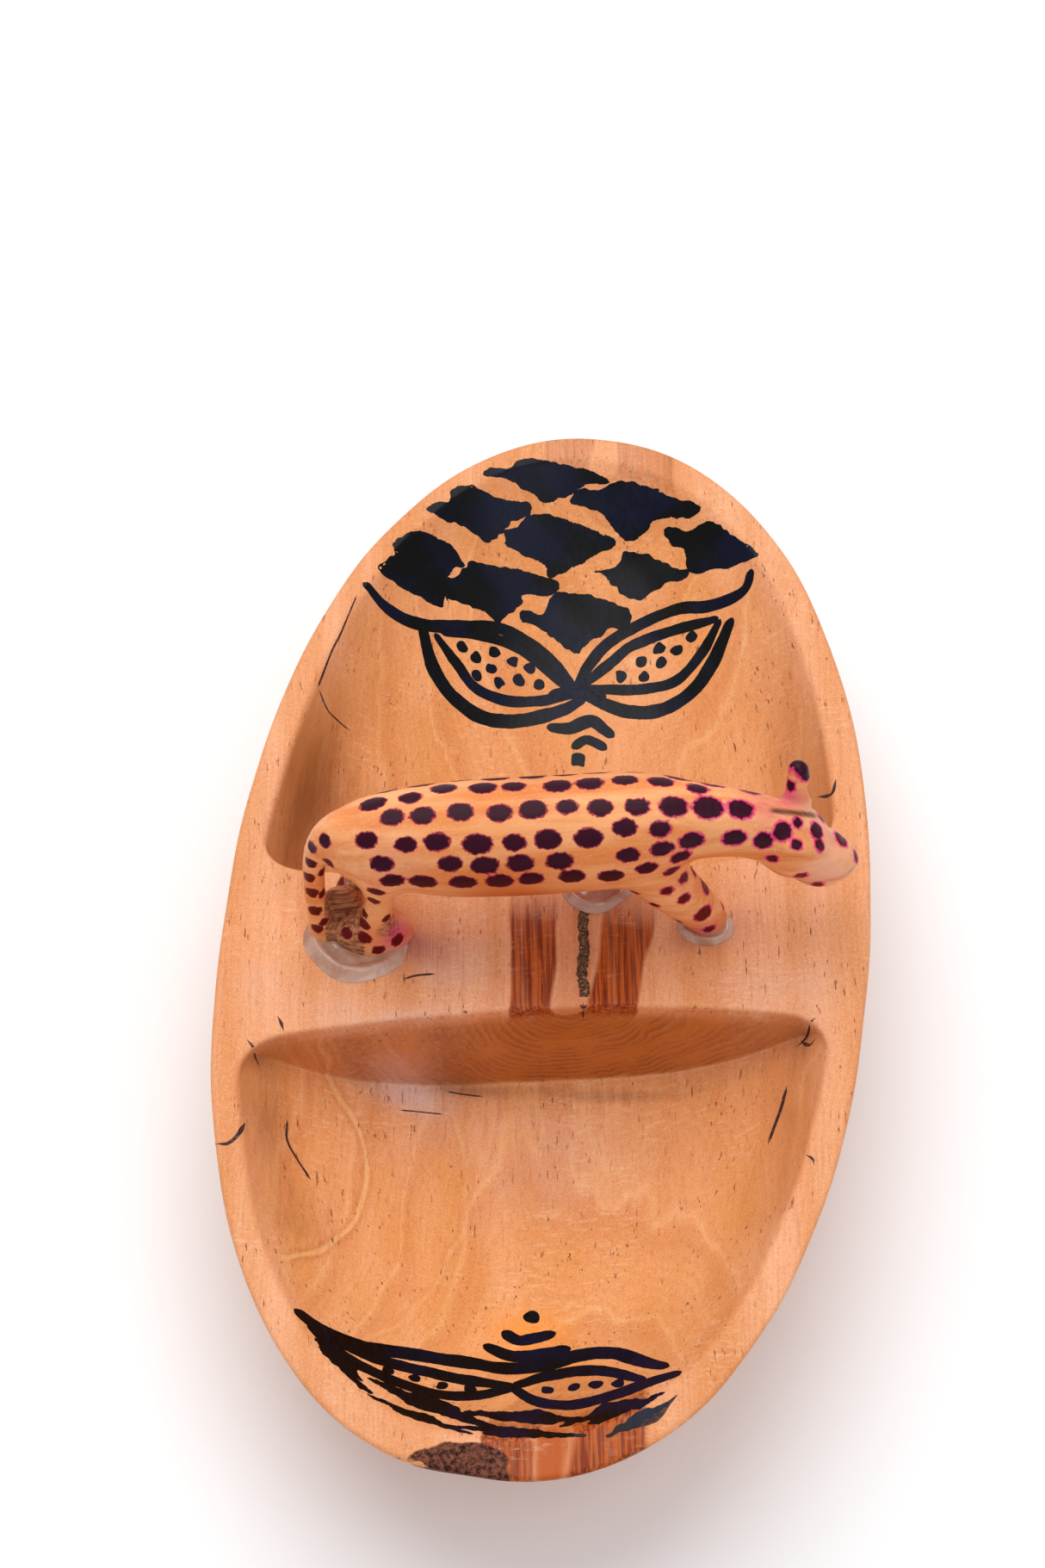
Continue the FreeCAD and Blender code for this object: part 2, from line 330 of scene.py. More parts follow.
def hollow_grid(side):
    """Columns of points from just outside the hollow's edge to its centre."""
    border, centre = hollow_border(side), np.array(HOLLOW_CENTRES[side])
    columns = []
    for edge in border:
        inward = centre - edge
        span = np.linalg.norm(inward)
        inward /= span
        s = span * np.linspace(0, 1, 2600) ** 2.4
        depth = np.maximum(hollow_depth(edge[0] + inward[0] * s, edge[1] + inward[1] * s, side), 0)
        depth[0] = 0
        raw = np.stack([np.concatenate([[-PROFILE_LEAD], s]), np.concatenate([[0], -depth])], 1)
        profile = rounded(resample(raw, PROFILE_STEP), INNER_ROUNDING)
        run = path_length(profile)
        # The wall's foot, or a fixed place down the dished side where there is no wall.
        wall = np.abs(bridge_gap(edge[0], edge[1], side))
        dished = float(dish_depth(dish_reach(edge[0], edge[1])))
        foot = PROFILE_LEAD + max(dished * smooth_step(6.0, 1.0, wall), 8.0)
        rows = profile_rows(foot, 2.0, 2.5, run[-1], (9, 11, 7, 34))
        s_row = np.interp(rows, run, profile[:, 0])
        z_row = np.interp(rows, run, profile[:, 1])
        z_row[0] = 0
        plan = edge + inward * s_row[:, None]
        plan[-1] = centre
        columns.append(np.column_stack([plan, RIM + z_row]))
    return place_columns(columns)


def rim_ring():
    """The outer outline in plan about its own centre."""
    angles = np.linspace(0, 2 * math.pi, 2880, endpoint=False)
    cos, sin = np.cos(angles), np.sin(angles)
    power = np.where(sin >= 0, *RIM_POWERS)
    x = np.sign(cos) * np.abs(cos) ** (2 / power) * HALF_WIDTH
    y = np.sign(sin) * np.abs(sin) ** (2 / power) * np.where(sin >= 0, RIM_FAR, RIM_NEAR)
    return resample(np.stack([x, y], 1), RIM_SPACING, closed=True)


def hull_grid():
    """Columns of points from just inside the outer rim edge, down the hull and under the base."""
    falls = np.linspace(0, 1, 400)
    scale = BASE_SCALE + (1 - BASE_SCALE) * (1 - falls ** BILGE[0]) ** (1 / BILGE[1])
    columns = []
    for edge in rim_ring():
        span = np.linalg.norm(edge)
        away = float(((edge + [0, WAIST] - BARK_AT) ** 2).sum())
        dent = BARK_DENT * math.exp(-away / 2 / BARK_REACH ** 2)
        lead = np.array([[span - PROFILE_LEAD - dent, 0.0]])
        side = np.column_stack([span * scale - dent * np.exp(-falls * 4), -RIM * falls])
        floor = np.array([[0.0, -RIM]])
        raw = np.vstack([lead, side, floor])
        profile = rounded(resample(raw, PROFILE_STEP), OUTER_ROUNDING)
        run = path_length(profile)
        base = PROFILE_LEAD + path_length(side)[-1]
        rows = profile_rows(base, 3, 3, run[-1], (9, 26, 7, 9))
        radius = np.interp(rows, run, profile[:, 0])
        drop = np.interp(rows, run, profile[:, 1])
        drop[0] = 0
        plan = edge / span * radius[:, None] + [0, WAIST]
        columns.append(np.column_stack([plan, RIM + drop]))
    return place_columns(columns)


def crack_loop():
    """The split's ragged outline in plan, from near the bridge's near edge to under the leopard."""
    start = np.array([CRACK_HIGH[0] - 0.9, CRACK_LOW[1] + 1.9])
    stop = np.array([CRACK_LOW[0] + 0.6, CRACK_HIGH[1]])
    count = 46
    along = np.linspace(0, 1, count)
    middle = start + (stop - start) * along[:, None]
    middle[:, 0] += 0.25 * np.sin(along * 19) + 0.12 * np.sin(along * 47 + 1)
    draw = np.random.default_rng(11)
    half = 1.3 * np.sqrt(np.clip(1 - np.abs(2 * along - 0.85) ** 4, 0.02, 1))
    left, right = middle.copy(), middle.copy()
    left[:, 0] -= half + 0.22 * draw.normal(size=count)
    right[:, 0] += half + 0.22 * draw.normal(size=count)
    return np.vstack([right, left[::-1]])


def inside_region(points, outer, holes):
    """Which points lie inside the outer loop and outside every hole."""
    keep = inside(points[:, 0], points[:, 1], outer)
    for hole in holes:
        keep &= ~inside(points[:, 0], points[:, 1], hole)
    return keep


def fill_between(outer, holes, spacing):
    """Triangles that fill a plan region, with points on a hexagonal grid inside it."""
    low, high = outer.min(axis=0), outer.max(axis=0)
    grid = []
    for row, y in enumerate(np.arange(low[1], high[1], spacing * 0.866)):
        for x in np.arange(low[0] + spacing * 0.5 * (row % 2), high[0], spacing):
            grid.append((x, y))
    grid = np.array(grid)
    grid = grid[inside_region(grid, outer, holes)]
    border = np.vstack([outer] + holes)
    clear = np.array([np.min((border[:, 0] - p[0]) ** 2 + (border[:, 1] - p[1]) ** 2)
                      for p in grid]).reshape(-1) > (0.55 * spacing) ** 2
    points = np.vstack([border, grid[clear]])
    edges, first = [], 0
    for loop in [outer] + holes:
        count = len(loop)
        edges += [(first + n, first + (n + 1) % count) for n in range(count)]
        first += count
    found, _, triangles, source, _, _ = delaunay_2d_cdt(
        [Vector(p) for p in points.tolist()], edges, [], 0, 1e-6)
    found = np.array([points[origin[0]] if origin else tuple(p)
                      for p, origin in zip(found, source)])
    triangles = np.array([t for t in triangles if len(t) == 3])
    return found, triangles[inside_region(found[triangles].mean(axis=1), outer, holes)]


def carve_marks(points):
    """Moves points slightly, as a hand-cut and hand-sanded surface lies."""
    x, y, z = points.T
    under = smooth_step(RIM - 0.5, RIM - 6.0, z)
    base = smooth_step(2.0, 6.0, z)
    lift = 0.28 * waves(x, y, z, 34.0, 5) + 0.10 * waves(x, y, z, 13.0, 8)
    flat = 0.10 * waves(x, y, z, 45.0, 3)
    moved = points.copy()
    moved[:, 2] += base * (under * lift + (1 - under) * flat)
    for axis, seed in ((0, 21), (1, 22)):
        moved[:, axis] += base * 0.22 * waves(x, y, 0.0, 40.0, seed)
    return moved


def build_bowl(material):
    """Hull, rim, bridge top, both hollows and the crack's slot, welded into one closed skin."""
    mesher = Mesher()
    hull = hull_grid()
    hollows = {side: hollow_grid(side) for side in (NEAR, FAR)}
    crack = crack_loop()
    hull_ids = mesher.add(hull).reshape(hull.shape[:2])
    mesher.grid(hull_ids, flip=True)
    for grid in hollows.values():
        mesher.grid(mesher.add(grid).reshape(grid.shape[:2]))
    outer = hull[:, 0, :2]
    holes = [grid[:, 0, :2] for grid in hollows.values()] + [crack]
    plan, triangles = fill_between(outer, holes, TOP_SPACING)
    ids = mesher.add(np.column_stack([plan, np.full(len(plan), RIM)]))
    for triangle in triangles:
        a, b, c = ids[triangle]
        (ax, ay), (bx, by), (cx, cy) = plan[triangle]
        turn = (bx - ax) * (cy - ay) - (by - ay) * (cx - ax)
        mesher.face(*((a, b, c) if turn > 0 else (a, c, b)))
    add_slot(mesher, crack)
    piece = mesh_piece("carved_bowl", carve_marks(np.array(mesher.points)), mesher.faces,
                       material)
    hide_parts("bowl_body")
    return piece


def add_slot(mesher, crack):
    """Walls and floor of the crack's slot."""
    rings = [mesher.add(np.column_stack([crack, np.full(len(crack), RIM - drop)]))
             for drop in (0.0, SLOT_DEPTH / 2, SLOT_DEPTH)]
    count = len(crack)
    for upper, lower in zip(rings[:-1], rings[1:]):
        for n in range(count):
            after = (n + 1) % count
            mesher.face(upper[n], upper[after], lower[after], lower[n])
    half = count // 2
    floor = rings[-1]
    for n in range(half - 1):
        mesher.face(floor[n], floor[n + 1], floor[count - 2 - n], floor[count - 1 - n])


# ---------------------------------------------------------------------------- leopard shape
# Balls strung along each member, in the leopard's axes: along, side, up, radius.
SPINE = [(-52.2, 1.0, 38.6, 2.6), (-50.0, 1.0, 36.9, 6.0), (-46.0, 1.1, 35.3, 9.3),
         (-40.5, 1.2, 34.6, 12.0), (-33.0, 1.3, 34.5, 13.6), (-22.0, 1.3, 33.9, 15.1),
         (-8.0, 1.3, 33.8, 15.5), (6.0, 1.3, 34.1, 15.4), (17.0, 1.3, 34.8, 15.1),
         (25.0, 1.2, 36.6, 13.2), (32.0, 1.0, 37.9, 10.7), (40.0, 0.7, 37.5, 9.3),
         (48.0, 0.3, 35.8, 8.6), (55.0, -0.2, 32.8, 8.6)]
TAIL = [(-50.0, 1.0, 39.5, 4.6), (-54.3, 0.8, 35.5, 3.4), (-56.2, 0.0, 29.5, 2.8),
        (-56.7, -1.2, 22.0, 2.6), (-56.6, -2.2, 14.0, 2.6), (-56.0, -3.0, 7.0, 2.8),
        (-55.2, -3.2, -1.5, 3.2)]
NEAR_FORE = [(22.5, -3.5, 30.0, 8.6), (28.2, -5.4, 21.0, 7.3), (33.8, -5.5, 12.0, 6.2),
             (37.6, -4.7, 5.0, 5.5), (39.0, -4.2, 0.0, 5.2)]
FAR_FORE = [(19.0, 6.5, 30.0, 8.0), (17.0, 9.0, 19.0, 5.6), (14.0, 10.4, 8.0, 4.8),
            (11.8, 10.6, 0.5, 5.0)]
NEAR_HIND = [(-39.4, -4.0, 33.0, 7.8), (-40.8, -6.0, 25.5, 4.4), (-41.2, -6.3, 19.5, 3.2),
             (-42.2, -5.6, 10.0, 4.4), (-42.8, -4.6, 2.0, 5.6)]
FAR_HIND = [(-38.5, 6.2, 31.0, 7.8), (-41.8, 7.8, 22.0, 4.2), (-43.4, 7.8, 14.0, 3.5),
            (-45.6, 7.2, 4.0, 4.9)]
SLIMNESS = 0.885         # the torso's width over its height
VOXEL = 0.62
JOIN = 2.6               # how far the members melt into each other


def ball_string(points, stations, slim=1.0, step=2.2):
    """Distance to a smooth string of balls; slim narrows it sideways."""
    path = spline(stations, step)
    middle = path[:, 1].mean()
    warped = points.copy()
    warped[:, 1] = middle + (points[:, 1] - middle) / slim
    best = np.full(len(points), 1e3, np.float32)
    for a, b in zip(path[:-1], path[1:]):
        way = (b - a)[:3]
        from_a = warped - a[:3]
        share = np.clip(from_a @ way / (way @ way), 0, 1)
        gap = np.linalg.norm(from_a - share[:, None] * way, axis=1)
        best = np.minimum(best, gap - (a[3] + (b[3] - a[3]) * share))
    return best


def ellipsoid(points, centre, radii, pitch=0.0, yaw=0.0):
    """Approximate distance to an ellipsoid; pitch dips its nose, yaw turns it to the far side."""
    offset = points - np.array(centre)
    cos, sin = math.cos(math.radians(yaw)), math.sin(math.radians(yaw))
    along, side = offset[:, 0] * cos + offset[:, 1] * sin, offset[:, 1] * cos - offset[:, 0] * sin
    cos, sin = math.cos(math.radians(pitch)), math.sin(math.radians(pitch))
    along, up = along * cos - offset[:, 2] * sin, along * sin + offset[:, 2] * cos
    scaled = np.stack([along / radii[0], side / radii[1], up / radii[2]], 1)
    reach = np.linalg.norm(scaled, axis=1)
    slope = np.linalg.norm(scaled / np.array(radii), axis=1)
    return reach * (reach - 1) / np.maximum(slope, 1e-6)


def melt(first, second, blend=JOIN):
    """Union of two shapes with a soft crease."""
    return smooth_min(first, second, blend)


def scoop(shape, tool, blend=0.8):
    """The shape with a tool's shape taken out of it."""
    return -smooth_min(-shape, tool, blend)


def head(points):
    """Skull, wedge-shaped muzzle, jaw and two ears, with the mouth cut in."""
    skull = ellipsoid(points, (58.6, -0.5, 29.3), (8.6, 8.2, 8.6), pitch=24)
    muzzle = ball_string(points, [(60.0, -0.7, 26.8, 7.9), (66.0, -1.1, 23.4, 7.1),
                                  (70.5, -1.4, 20.6, 4.9)], slim=0.92)
    jaw = ellipsoid(points, (65.2, -1.2, 19.6), (7.8, 6.0, 4.9), pitch=22)
    shape = melt(melt(skull, muzzle, 2.0), jaw, 1.4)
    brow = ellipsoid(points, (62.4, -0.9, 33.6), (5.6, 7.2, 2.2), pitch=33)
    shape = melt(shape, brow, 1.6)
    far_ear = ball_string(points, [(59.6, 3.9, 34.5, 3.6), (60.3, 6.4, 40.0, 3.3),
                                   (60.2, 9.0, 45.6, 2.5)])
    hollow = ellipsoid(points, (63.2, 6.6, 41.0), (2.0, 1.7, 3.4))
    shape = melt(shape, scoop(far_ear, hollow), 1.5)
    near_ear = ball_string(points, [(55.0, -5.6, 35.6, 1.3), (58.0, -6.4, 36.4, 2.0),
                                    (62.0, -6.4, 34.4, 1.5), (66.0, -4.6, 30.6, 0.9)])
    shape = melt(shape, near_ear, 1.3)
    mouth = ball_string(points, [(58.0, -9.8, 20.4, 0.55), (63.5, -9.4, 20.4, 0.6),
                                 (69.0, -7.0, 18.8, 0.6), (73.6, -4.2, 16.6, 0.6),
                                 (76.4, -1.4, 16.2, 0.5)])
    return scoop(shape, mouth, 0.7)


def leopard_distance(points):
    """Distance to the whole figurine, in its own axes."""
    points = np.asarray(points, np.float32)
    shape = ball_string(points, SPINE, slim=SLIMNESS)
    shape = melt(shape, head(points), 2.2)
    shape = melt(shape, ball_string(points, NEAR_FORE, slim=0.86), 3.0)
    shape = melt(shape, ball_string(points, FAR_FORE, slim=0.9), 3.0)
    hind = melt(ball_string(points, NEAR_HIND, slim=0.95), ball_string(points, FAR_HIND), 1.0)
    near_foot = ellipsoid(points, (-43.0, -4.1, 1.6), (9.9, 6.0, 7.4), pitch=4, yaw=2)
    far_foot = ellipsoid(points, (-45.4, 7.4, 1.6), (6.4, 5.4, 6.6), pitch=4)
    hind = melt(hind, melt(near_foot, far_foot, 1.5), 3.4)
    shape = melt(shape, hind, 2.6)
    web = ellipsoid(points, (-50.6, 0.6, 2.0), (6.2, 2.2, 13.6))
    shape = melt(shape, web, 1.6)
    shape = melt(shape, ball_string(points, TAIL), 2.0)
    groin = ellipsoid(points, (-29.0, -14.0, 20.5), (4.2, 5.0, 3.4), pitch=-30)
    shape = scoop(shape, groin, 1.6)
    return np.maximum(shape, -points[:, 2])


COARSE = 4               # the distance is first read on every fourth grid point each way
NEAR_BAND = 3.4          # and again, point by point, this close to the surface


def sampled(distance, axes):
    """The distance on a grid: exact near the surface, interpolated elsewhere."""
    rough_axes = [axis[::COARSE] for axis in axes]
    rough_shape = tuple(len(axis) for axis in rough_axes)
    rough = np.stack(np.meshgrid(*rough_axes, indexing="ij"), -1).reshape(-1, 3)
    value = distance(rough).reshape(rough_shape)
    for n, axis in enumerate(axes):
        spot = np.arange(len(axis)) / COARSE
        low = np.minimum(spot.astype(int), rough_shape[n] - 2)
        share = (spot - low).reshape([-1 if m == n else 1 for m in range(3)])
        value = np.take(value, low, n) * (1 - share) + np.take(value, low + 1, n) * share
    close = np.argwhere(np.abs(value) < NEAR_BAND)
    points = np.stack([axes[n][close[:, n]] for n in range(3)], 1)
    value[tuple(close.T)] = distance(points)
    return value


def surface_net(distance, low, high, step):
    """Quads on the zero level of a distance function, one vertex per crossed cell."""
    axes = [np.arange(low[n], high[n] + COARSE * step, step) for n in range(3)]
    axes = [axis[:(len(axis) - 1) // COARSE * COARSE + 1] for axis in axes]
    value = sampled(distance, axes)
    shape = value.shape
    solid = value < 0
    cells = tuple(n - 1 for n in shape)
    total = np.zeros(cells + (3,))
    count = np.zeros(cells)
    corner = [(i, j, k) for i in (0, 1) for j in (0, 1) for k in (0, 1)]

    def part(array, c):
        return array[c[0]:c[0] + cells[0], c[1]:c[1] + cells[1], c[2]:c[2] + cells[2]]

    for a in corner:
        for axis in range(3):
            if a[axis]:
                continue
            b = tuple(a[n] + (n == axis) for n in range(3))
            va, vb = part(value, a), part(value, b)
            cross = (va < 0) != (vb < 0)
            share = np.where(cross, va / np.where(cross, va - vb, 1), 0)
            spot = np.array(a, float) + share[..., None] * np.array([n == axis for n in range(3)])
            total += np.where(cross[..., None], spot, 0)
            count += cross
    used = count > 0
    number = np.full(cells, -1)
    number[used] = np.arange(used.sum())
    index = np.argwhere(used)
    points = (index + total[used] / count[used][:, None]) * step + np.array([a[0] for a in axes])
    quads = []
    for axis in range(3):
        u, v = (axis + 1) % 3, (axis + 2) % 3
        before, after = [slice(None)] * 3, [slice(None)] * 3
        before[axis], after[axis] = slice(0, -1), slice(1, None)
        change = solid[tuple(before)] != solid[tuple(after)]
        where = np.argwhere(change)
        ok = (where[:, u] > 0) & (where[:, v] > 0)
        ok &= (where[:, u] < cells[u]) & (where[:, v] < cells[v]) & (where[:, axis] < cells[axis])
        where = where[ok]
        ring = []
        for du, dv in ((0, 0), (1, 0), (1, 1), (0, 1)):
            cell = where.copy()
            cell[:, u] -= du
            cell[:, v] -= dv
            ring.append(number[tuple(cell.T)])
        quad = np.stack(ring, 1)
        outward = solid[tuple(where.T)]
        quad[~outward] = quad[~outward][:, ::-1]
        quads.append(quad)
    return points, np.vstack(quads)


def settle(points, distance, rounds):
    """Pulls vertices onto the zero level along the distance's own slope."""
    small = 0.05
    for _ in range(rounds):
        value = distance(points)
        slope = np.stack([(distance(points + step) - value) / small
                          for step in small * np.eye(3)], 1)
        slope /= np.maximum((slope ** 2).sum(axis=1), 0.25)[:, None]
        points = points - np.clip(value, -0.5, 0.5)[:, None] * slope
    return points


def build_leopard(material):
    """The figurine as one closed skin, returned with its points in the leopard's own axes."""
    low, high = (-62.0, -17.0, -0.4), (79.0, 20.0, 56.0)
    points, quads = surface_net(leopard_distance, low, high, VOXEL)
    points = settle(points, leopard_distance, 2)
    points[:, 2] = np.maximum(points[:, 2], 0.0)
    piece = mesh_piece("leopard", to_frame(points), quads, material)
    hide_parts("leopard_figurine")
    return piece, points


# ---------------------------------------------------------------------------- things on the wood
def height_finder(piece):
    """A function that drops plan points on the piece from above and returns heights."""
    graph = bpy.context.evaluated_depsgraph_get()
    tree = BVHTree.FromObject(piece, graph)

    def heights(plan):
        found = []
        for x, y in plan:
            hit = tree.ray_cast(Vector((x * MM, y * MM, 0.2)), Vector((0, 0, -1)))[0]
            found.append(hit.z / MM if hit else RIM)
        return np.array(found)
    return heights


def film(name, plan, faces, heights, material, proud=0.08, sunk=0.3):
    """A thin closed layer that lies on the wood: paint, a stain or a hairline crack."""
    count = len(plan)
    top = heights(plan)
    points = np.vstack([np.column_stack([plan, top + proud]), np.column_stack([plan, top - sunk])])
    edges = dict.fromkeys((a, b) for face in faces for a, b in zip(face, face[1:] + face[:1]))
    sides = [[a, a + count, b + count, b] for a, b in edges if (b, a) not in edges]
    under = [[c + count for c in reversed(face)] for face in faces]
    piece = mesh_piece(name, points, faces + under + sides, material)
    piece.data.set_sharp_from_angle(angle=math.radians(40))
    return piece


def strip_faces(lanes, count):
    """Quads between rows of points that run side by side."""
    return [[r * count + n, r * count + n + 1, (r + 1) * count + n + 1, (r + 1) * count + n]
            for r in range(lanes) for n in range(count - 1)]


def join_sheets(sheets):
    """Several (plan, faces) sheets as one."""
    plan, faces, first = [], [], 0
    for part, its in sheets:
        plan.append(part)
        faces += [[c + first for c in face] for face in its]
        first += len(part)
    return np.vstack(plan), faces


# ---------------------------------------------------------------------------- the ink drawings
class Slope:
    """Unrolls one hollow's end wall, so that the drawing keeps its widths on the slope."""

    def __init__(self, side, end):
        self.side, self.end = side, end
        self.y = np.arange(40.0, 143.0, 0.5)
        depth = hollow_depth(np.full(len(self.y), 2.0), side * self.y, side)
        self.run = path_length(np.column_stack([self.y, depth]))

    def unroll(self, points):
        """Points given as distance across and distance outwards, to the flat sheet."""
        points = np.asarray(points, float).copy()
        points[:, 1] = np.interp(points[:, 1], self.y, self.run)
        return points

    def roll(self, points):
        """From the flat sheet back to plan points in the row frame."""
        y = np.interp(points[:, 1], self.run, self.y)
        return np.column_stack([points[:, 0], self.side * y])


def stroke(points, width, seed, taper=(0.68, 0.68), spacing=0.7, lanes=4):
    """A brush stroke along a curve, with a slightly unsteady hand; returns (plan, faces)."""
    draw = np.random.default_rng(seed)
    path = spline(points, spacing)
    count = len(path)
    way = np.gradient(path, axis=0)
    way /= np.linalg.norm(way, axis=1)[:, None]
    across = np.stack([-way[:, 1], way[:, 0]], 1)
    run = path_length(path)
    ends = np.minimum(run, run[-1] - run) / (0.5 * width)
    swell = np.ones(count)
    for share, end in zip(taper, (run, run[-1] - run)):
        swell *= share + (1 - share) * smooth_step(0, 3.0 * width, end)
    swell *= np.sqrt(np.clip(1 - (1 - np.clip(ends, 0, 1)) ** 2, 0.05, 1))
    grain = np.convolve(draw.normal(size=count + 8), np.ones(5) / 5, mode="same")[4:-4]
    other = np.convolve(draw.normal(size=count + 8), np.ones(5) / 5, mode="same")[4:-4]
    rows = []
    for lane in np.linspace(-1, 1, lanes + 1):
        edge = 0.5 * width * swell * (1 + 0.10 * (grain if lane < 0 else other) * abs(lane))
        rows.append(path + across * (lane * edge)[:, None])
    return np.concatenate(rows), strip_faces(lanes, count)


def blot(loop, ragged, seed, spacing=0.9):
    """A filled patch inside a smooth closed loop with a ragged edge; returns (plan, faces)."""
    edge = closed_spline(loop, 0.55)
    draw = np.random.default_rng(seed)
    way = np.roll(edge, -1, axis=0) - np.roll(edge, 1, axis=0)
    way /= np.linalg.norm(way, axis=1)[:, None]
    shake = np.convolve(draw.normal(size=len(edge) + 4), np.ones(3) / 2, mode="same")[2:-2]
    edge = edge + np.column_stack([way[:, 1], -way[:, 0]]) * (ragged * shake)[:, None]
    plan, triangles = fill_between(edge, [], spacing)
    faces = []
    for a, b, c in triangles.tolist():
        (ax, ay), (bx, by), (cx, cy) = plan[a], plan[b], plan[c]
        faces.append([a, b, c] if (bx - ax) * (cy - ay) > (by - ay) * (cx - ax) else [a, c, b])
    return plan, faces


# One scale of the pattern, a unit across each way: two blunt wings and a tongue that points
# towards the eyes.
SCALE = [(-1.0, -0.15), (-0.93, 0.22), (-0.62, 0.34), (-0.45, 0.78), (-0.12, 1.0), (0.22, 0.80),
         (0.62, 0.62), (0.97, 0.42), (1.0, 0.02), (0.66, -0.10), (0.46, -0.30), (0.30, -0.68),
         (0.02, -1.0), (-0.22, -0.78), (-0.46, -0.42), (-0.74, -0.34)]
# What is drawn in each hollow, as distance across and distance outwards. Scales: centre, half
# width, half height and turn in degrees; strokes: points and heaviness; then the dots.
FAR_DRAWING = {
    "scales": [(-12.6, 136.2, 15.6, 5.0, 4.0), (10.6, 131.2, 15.4, 6.2, -10.0),
               (32.0, 119.6, 12.8, 6.4, -32.0), (-29.2, 124.0, 14.0, 6.8, 14.0),
               (-8.6, 121.4, 16.2, 7.2, 2.0), (14.4, 114.6, 13.0, 6.2, -9.0),
               (-42.6, 106.0, 12.2, 8.4, 26.0), (-24.6, 106.8, 15.4, 7.0, 12.0),
               (-1.4, 103.0, 14.6, 7.8, -2.0)],
    "strokes": [([(-57.5, 95.5), (-50.5, 92.4), (-42.0, 92.8), (-31.5, 96.2), (-22.0, 98.6),
                  (-14.5, 96.6), (-7.0, 92.0), (0.0, 85.0)], 1.05),
                ([(43.5, 111.5), (42.0, 107.0), (34.5, 105.4), (25.0, 106.0), (15.0, 103.0),
                  (7.0, 98.0), (2.6, 92.0), (-0.6, 85.0)], 1.05),
                ([(-42.0, 92.8), (-37.5, 82.5), (-30.5, 76.4), (-22.5, 74.0), (-13.0, 75.6),
                  (-3.5, 79.4), (2.5, 83.4)], 1.25),
                ([(-38.5, 92.0), (-32.5, 86.6), (-27.0, 81.6), (-20.0, 80.0), (-11.0, 81.0),
                  (-0.5, 84.0)], 0.95),
                ([(-37.0, 92.8), (-30.0, 95.0), (-22.0, 95.6), (-15.0, 94.0), (-8.5, 90.0),
                  (-1.5, 85.0)], 1.0),
                ([(39.5, 101.0), (34.6, 89.0), (29.5, 83.0), (22.5, 80.0), (15.0, 79.8),
                  (8.0, 81.8), (1.5, 84.4)], 1.25),
                ([(36.5, 101.4), (32.0, 93.2), (26.6, 87.6), (18.4, 86.0), (8.0, 86.0),
                  (0.5, 85.6)], 0.95),
                ([(36.0, 101.8), (24.4, 100.8), (14.4, 98.0), (8.0, 92.8), (1.0, 86.0)], 1.0),
                ([(-7.5, 83.0), (0.5, 84.8), (8.0, 83.8)], 1.5),
                ([(-7.0, 74.4), (-1.0, 74.6), (4.4, 77.0), (8.0, 75.0), (11.0, 72.8)], 1.3),
                ([(0.2, 69.0), (3.4, 71.6), (6.2, 71.0), (9.4, 69.2)], 1.3)],
    "dots": [(-31.0, 91.0), (-27.4, 89.4), (-23.0, 87.6), (-26.6, 84.6), (-20.6, 84.2),
             (-15.4, 86.0), (-10.2, 85.8), (-17.6, 90.6), (-22.6, 92.0), (-13.0, 89.6),
             (11.4, 89.6), (16.4, 93.4), (17.4, 89.4), (21.8, 92.6), (25.6, 95.4),
             (29.4, 98.4), (20.8, 96.6)],
    "nose": (2.2, 65.6)}
NEAR_DRAWING = {
    "scales": [(8.0, 130.8, 14.0, 2.9, 0.0), (-15.0, 130.0, 15.0, 3.0, 17.0),
               (27.0, 129.0, 12.0, 2.8, -22.0), (-35.5, 124.2, 9.5, 2.2, 40.0),
               (6.0, 136.6, 16.0, 1.9, 0.0), (33.0, 131.6, 8.0, 1.7, -36.0),
               (-16.0, 135.0, 12.0, 1.7, 16.0)],
    "strokes": [([(-48.5, 111.6), (-42.0, 114.6), (-34.0, 115.8), (-22.0, 114.6), (-10.0, 114.2),
                  (1.0, 115.0), (10.0, 113.2), (18.0, 109.6), (26.0, 109.2), (33.0, 113.0),
                  (39.0, 116.0)], 1.45),
                ([(-40.0, 117.0), (-28.0, 118.6), (-17.0, 119.2), (-6.0, 120.2), (4.0, 121.0)],
                 1.25),
                ([(-45.0, 114.6), (-36.0, 120.8), (-25.0, 124.2), (-14.0, 126.0), (-5.0, 124.8),
                  (4.0, 121.2)], 1.2),
                ([(3.0, 121.0), (10.0, 117.2), (18.0, 114.8), (25.0, 115.4), (34.0, 119.4)],
                 1.25),
                ([(3.0, 121.0), (9.0, 125.2), (17.0, 126.4), (25.0, 124.2), (34.0, 120.6),
                  (42.0, 118.6)], 1.3),
                ([(-1.0, 103.2), (3.0, 105.6), (6.4, 104.8), (11.6, 102.4)], 1.6),
                ([(-5.0, 108.0), (2.0, 110.8), (8.6, 109.8), (15.6, 107.2)], 1.6)],
    "dots": [(-25.6, 121.4), (-19.6, 122.0), (-13.0, 122.8), (-6.4, 122.8), (11.4, 121.4),
             (17.4, 120.2), (22.6, 119.6), (27.6, 119.6)],
    "nose": (5.6, 98.0)}
INK_WIDTH = 3.1
DOT_SIZE = 1.55


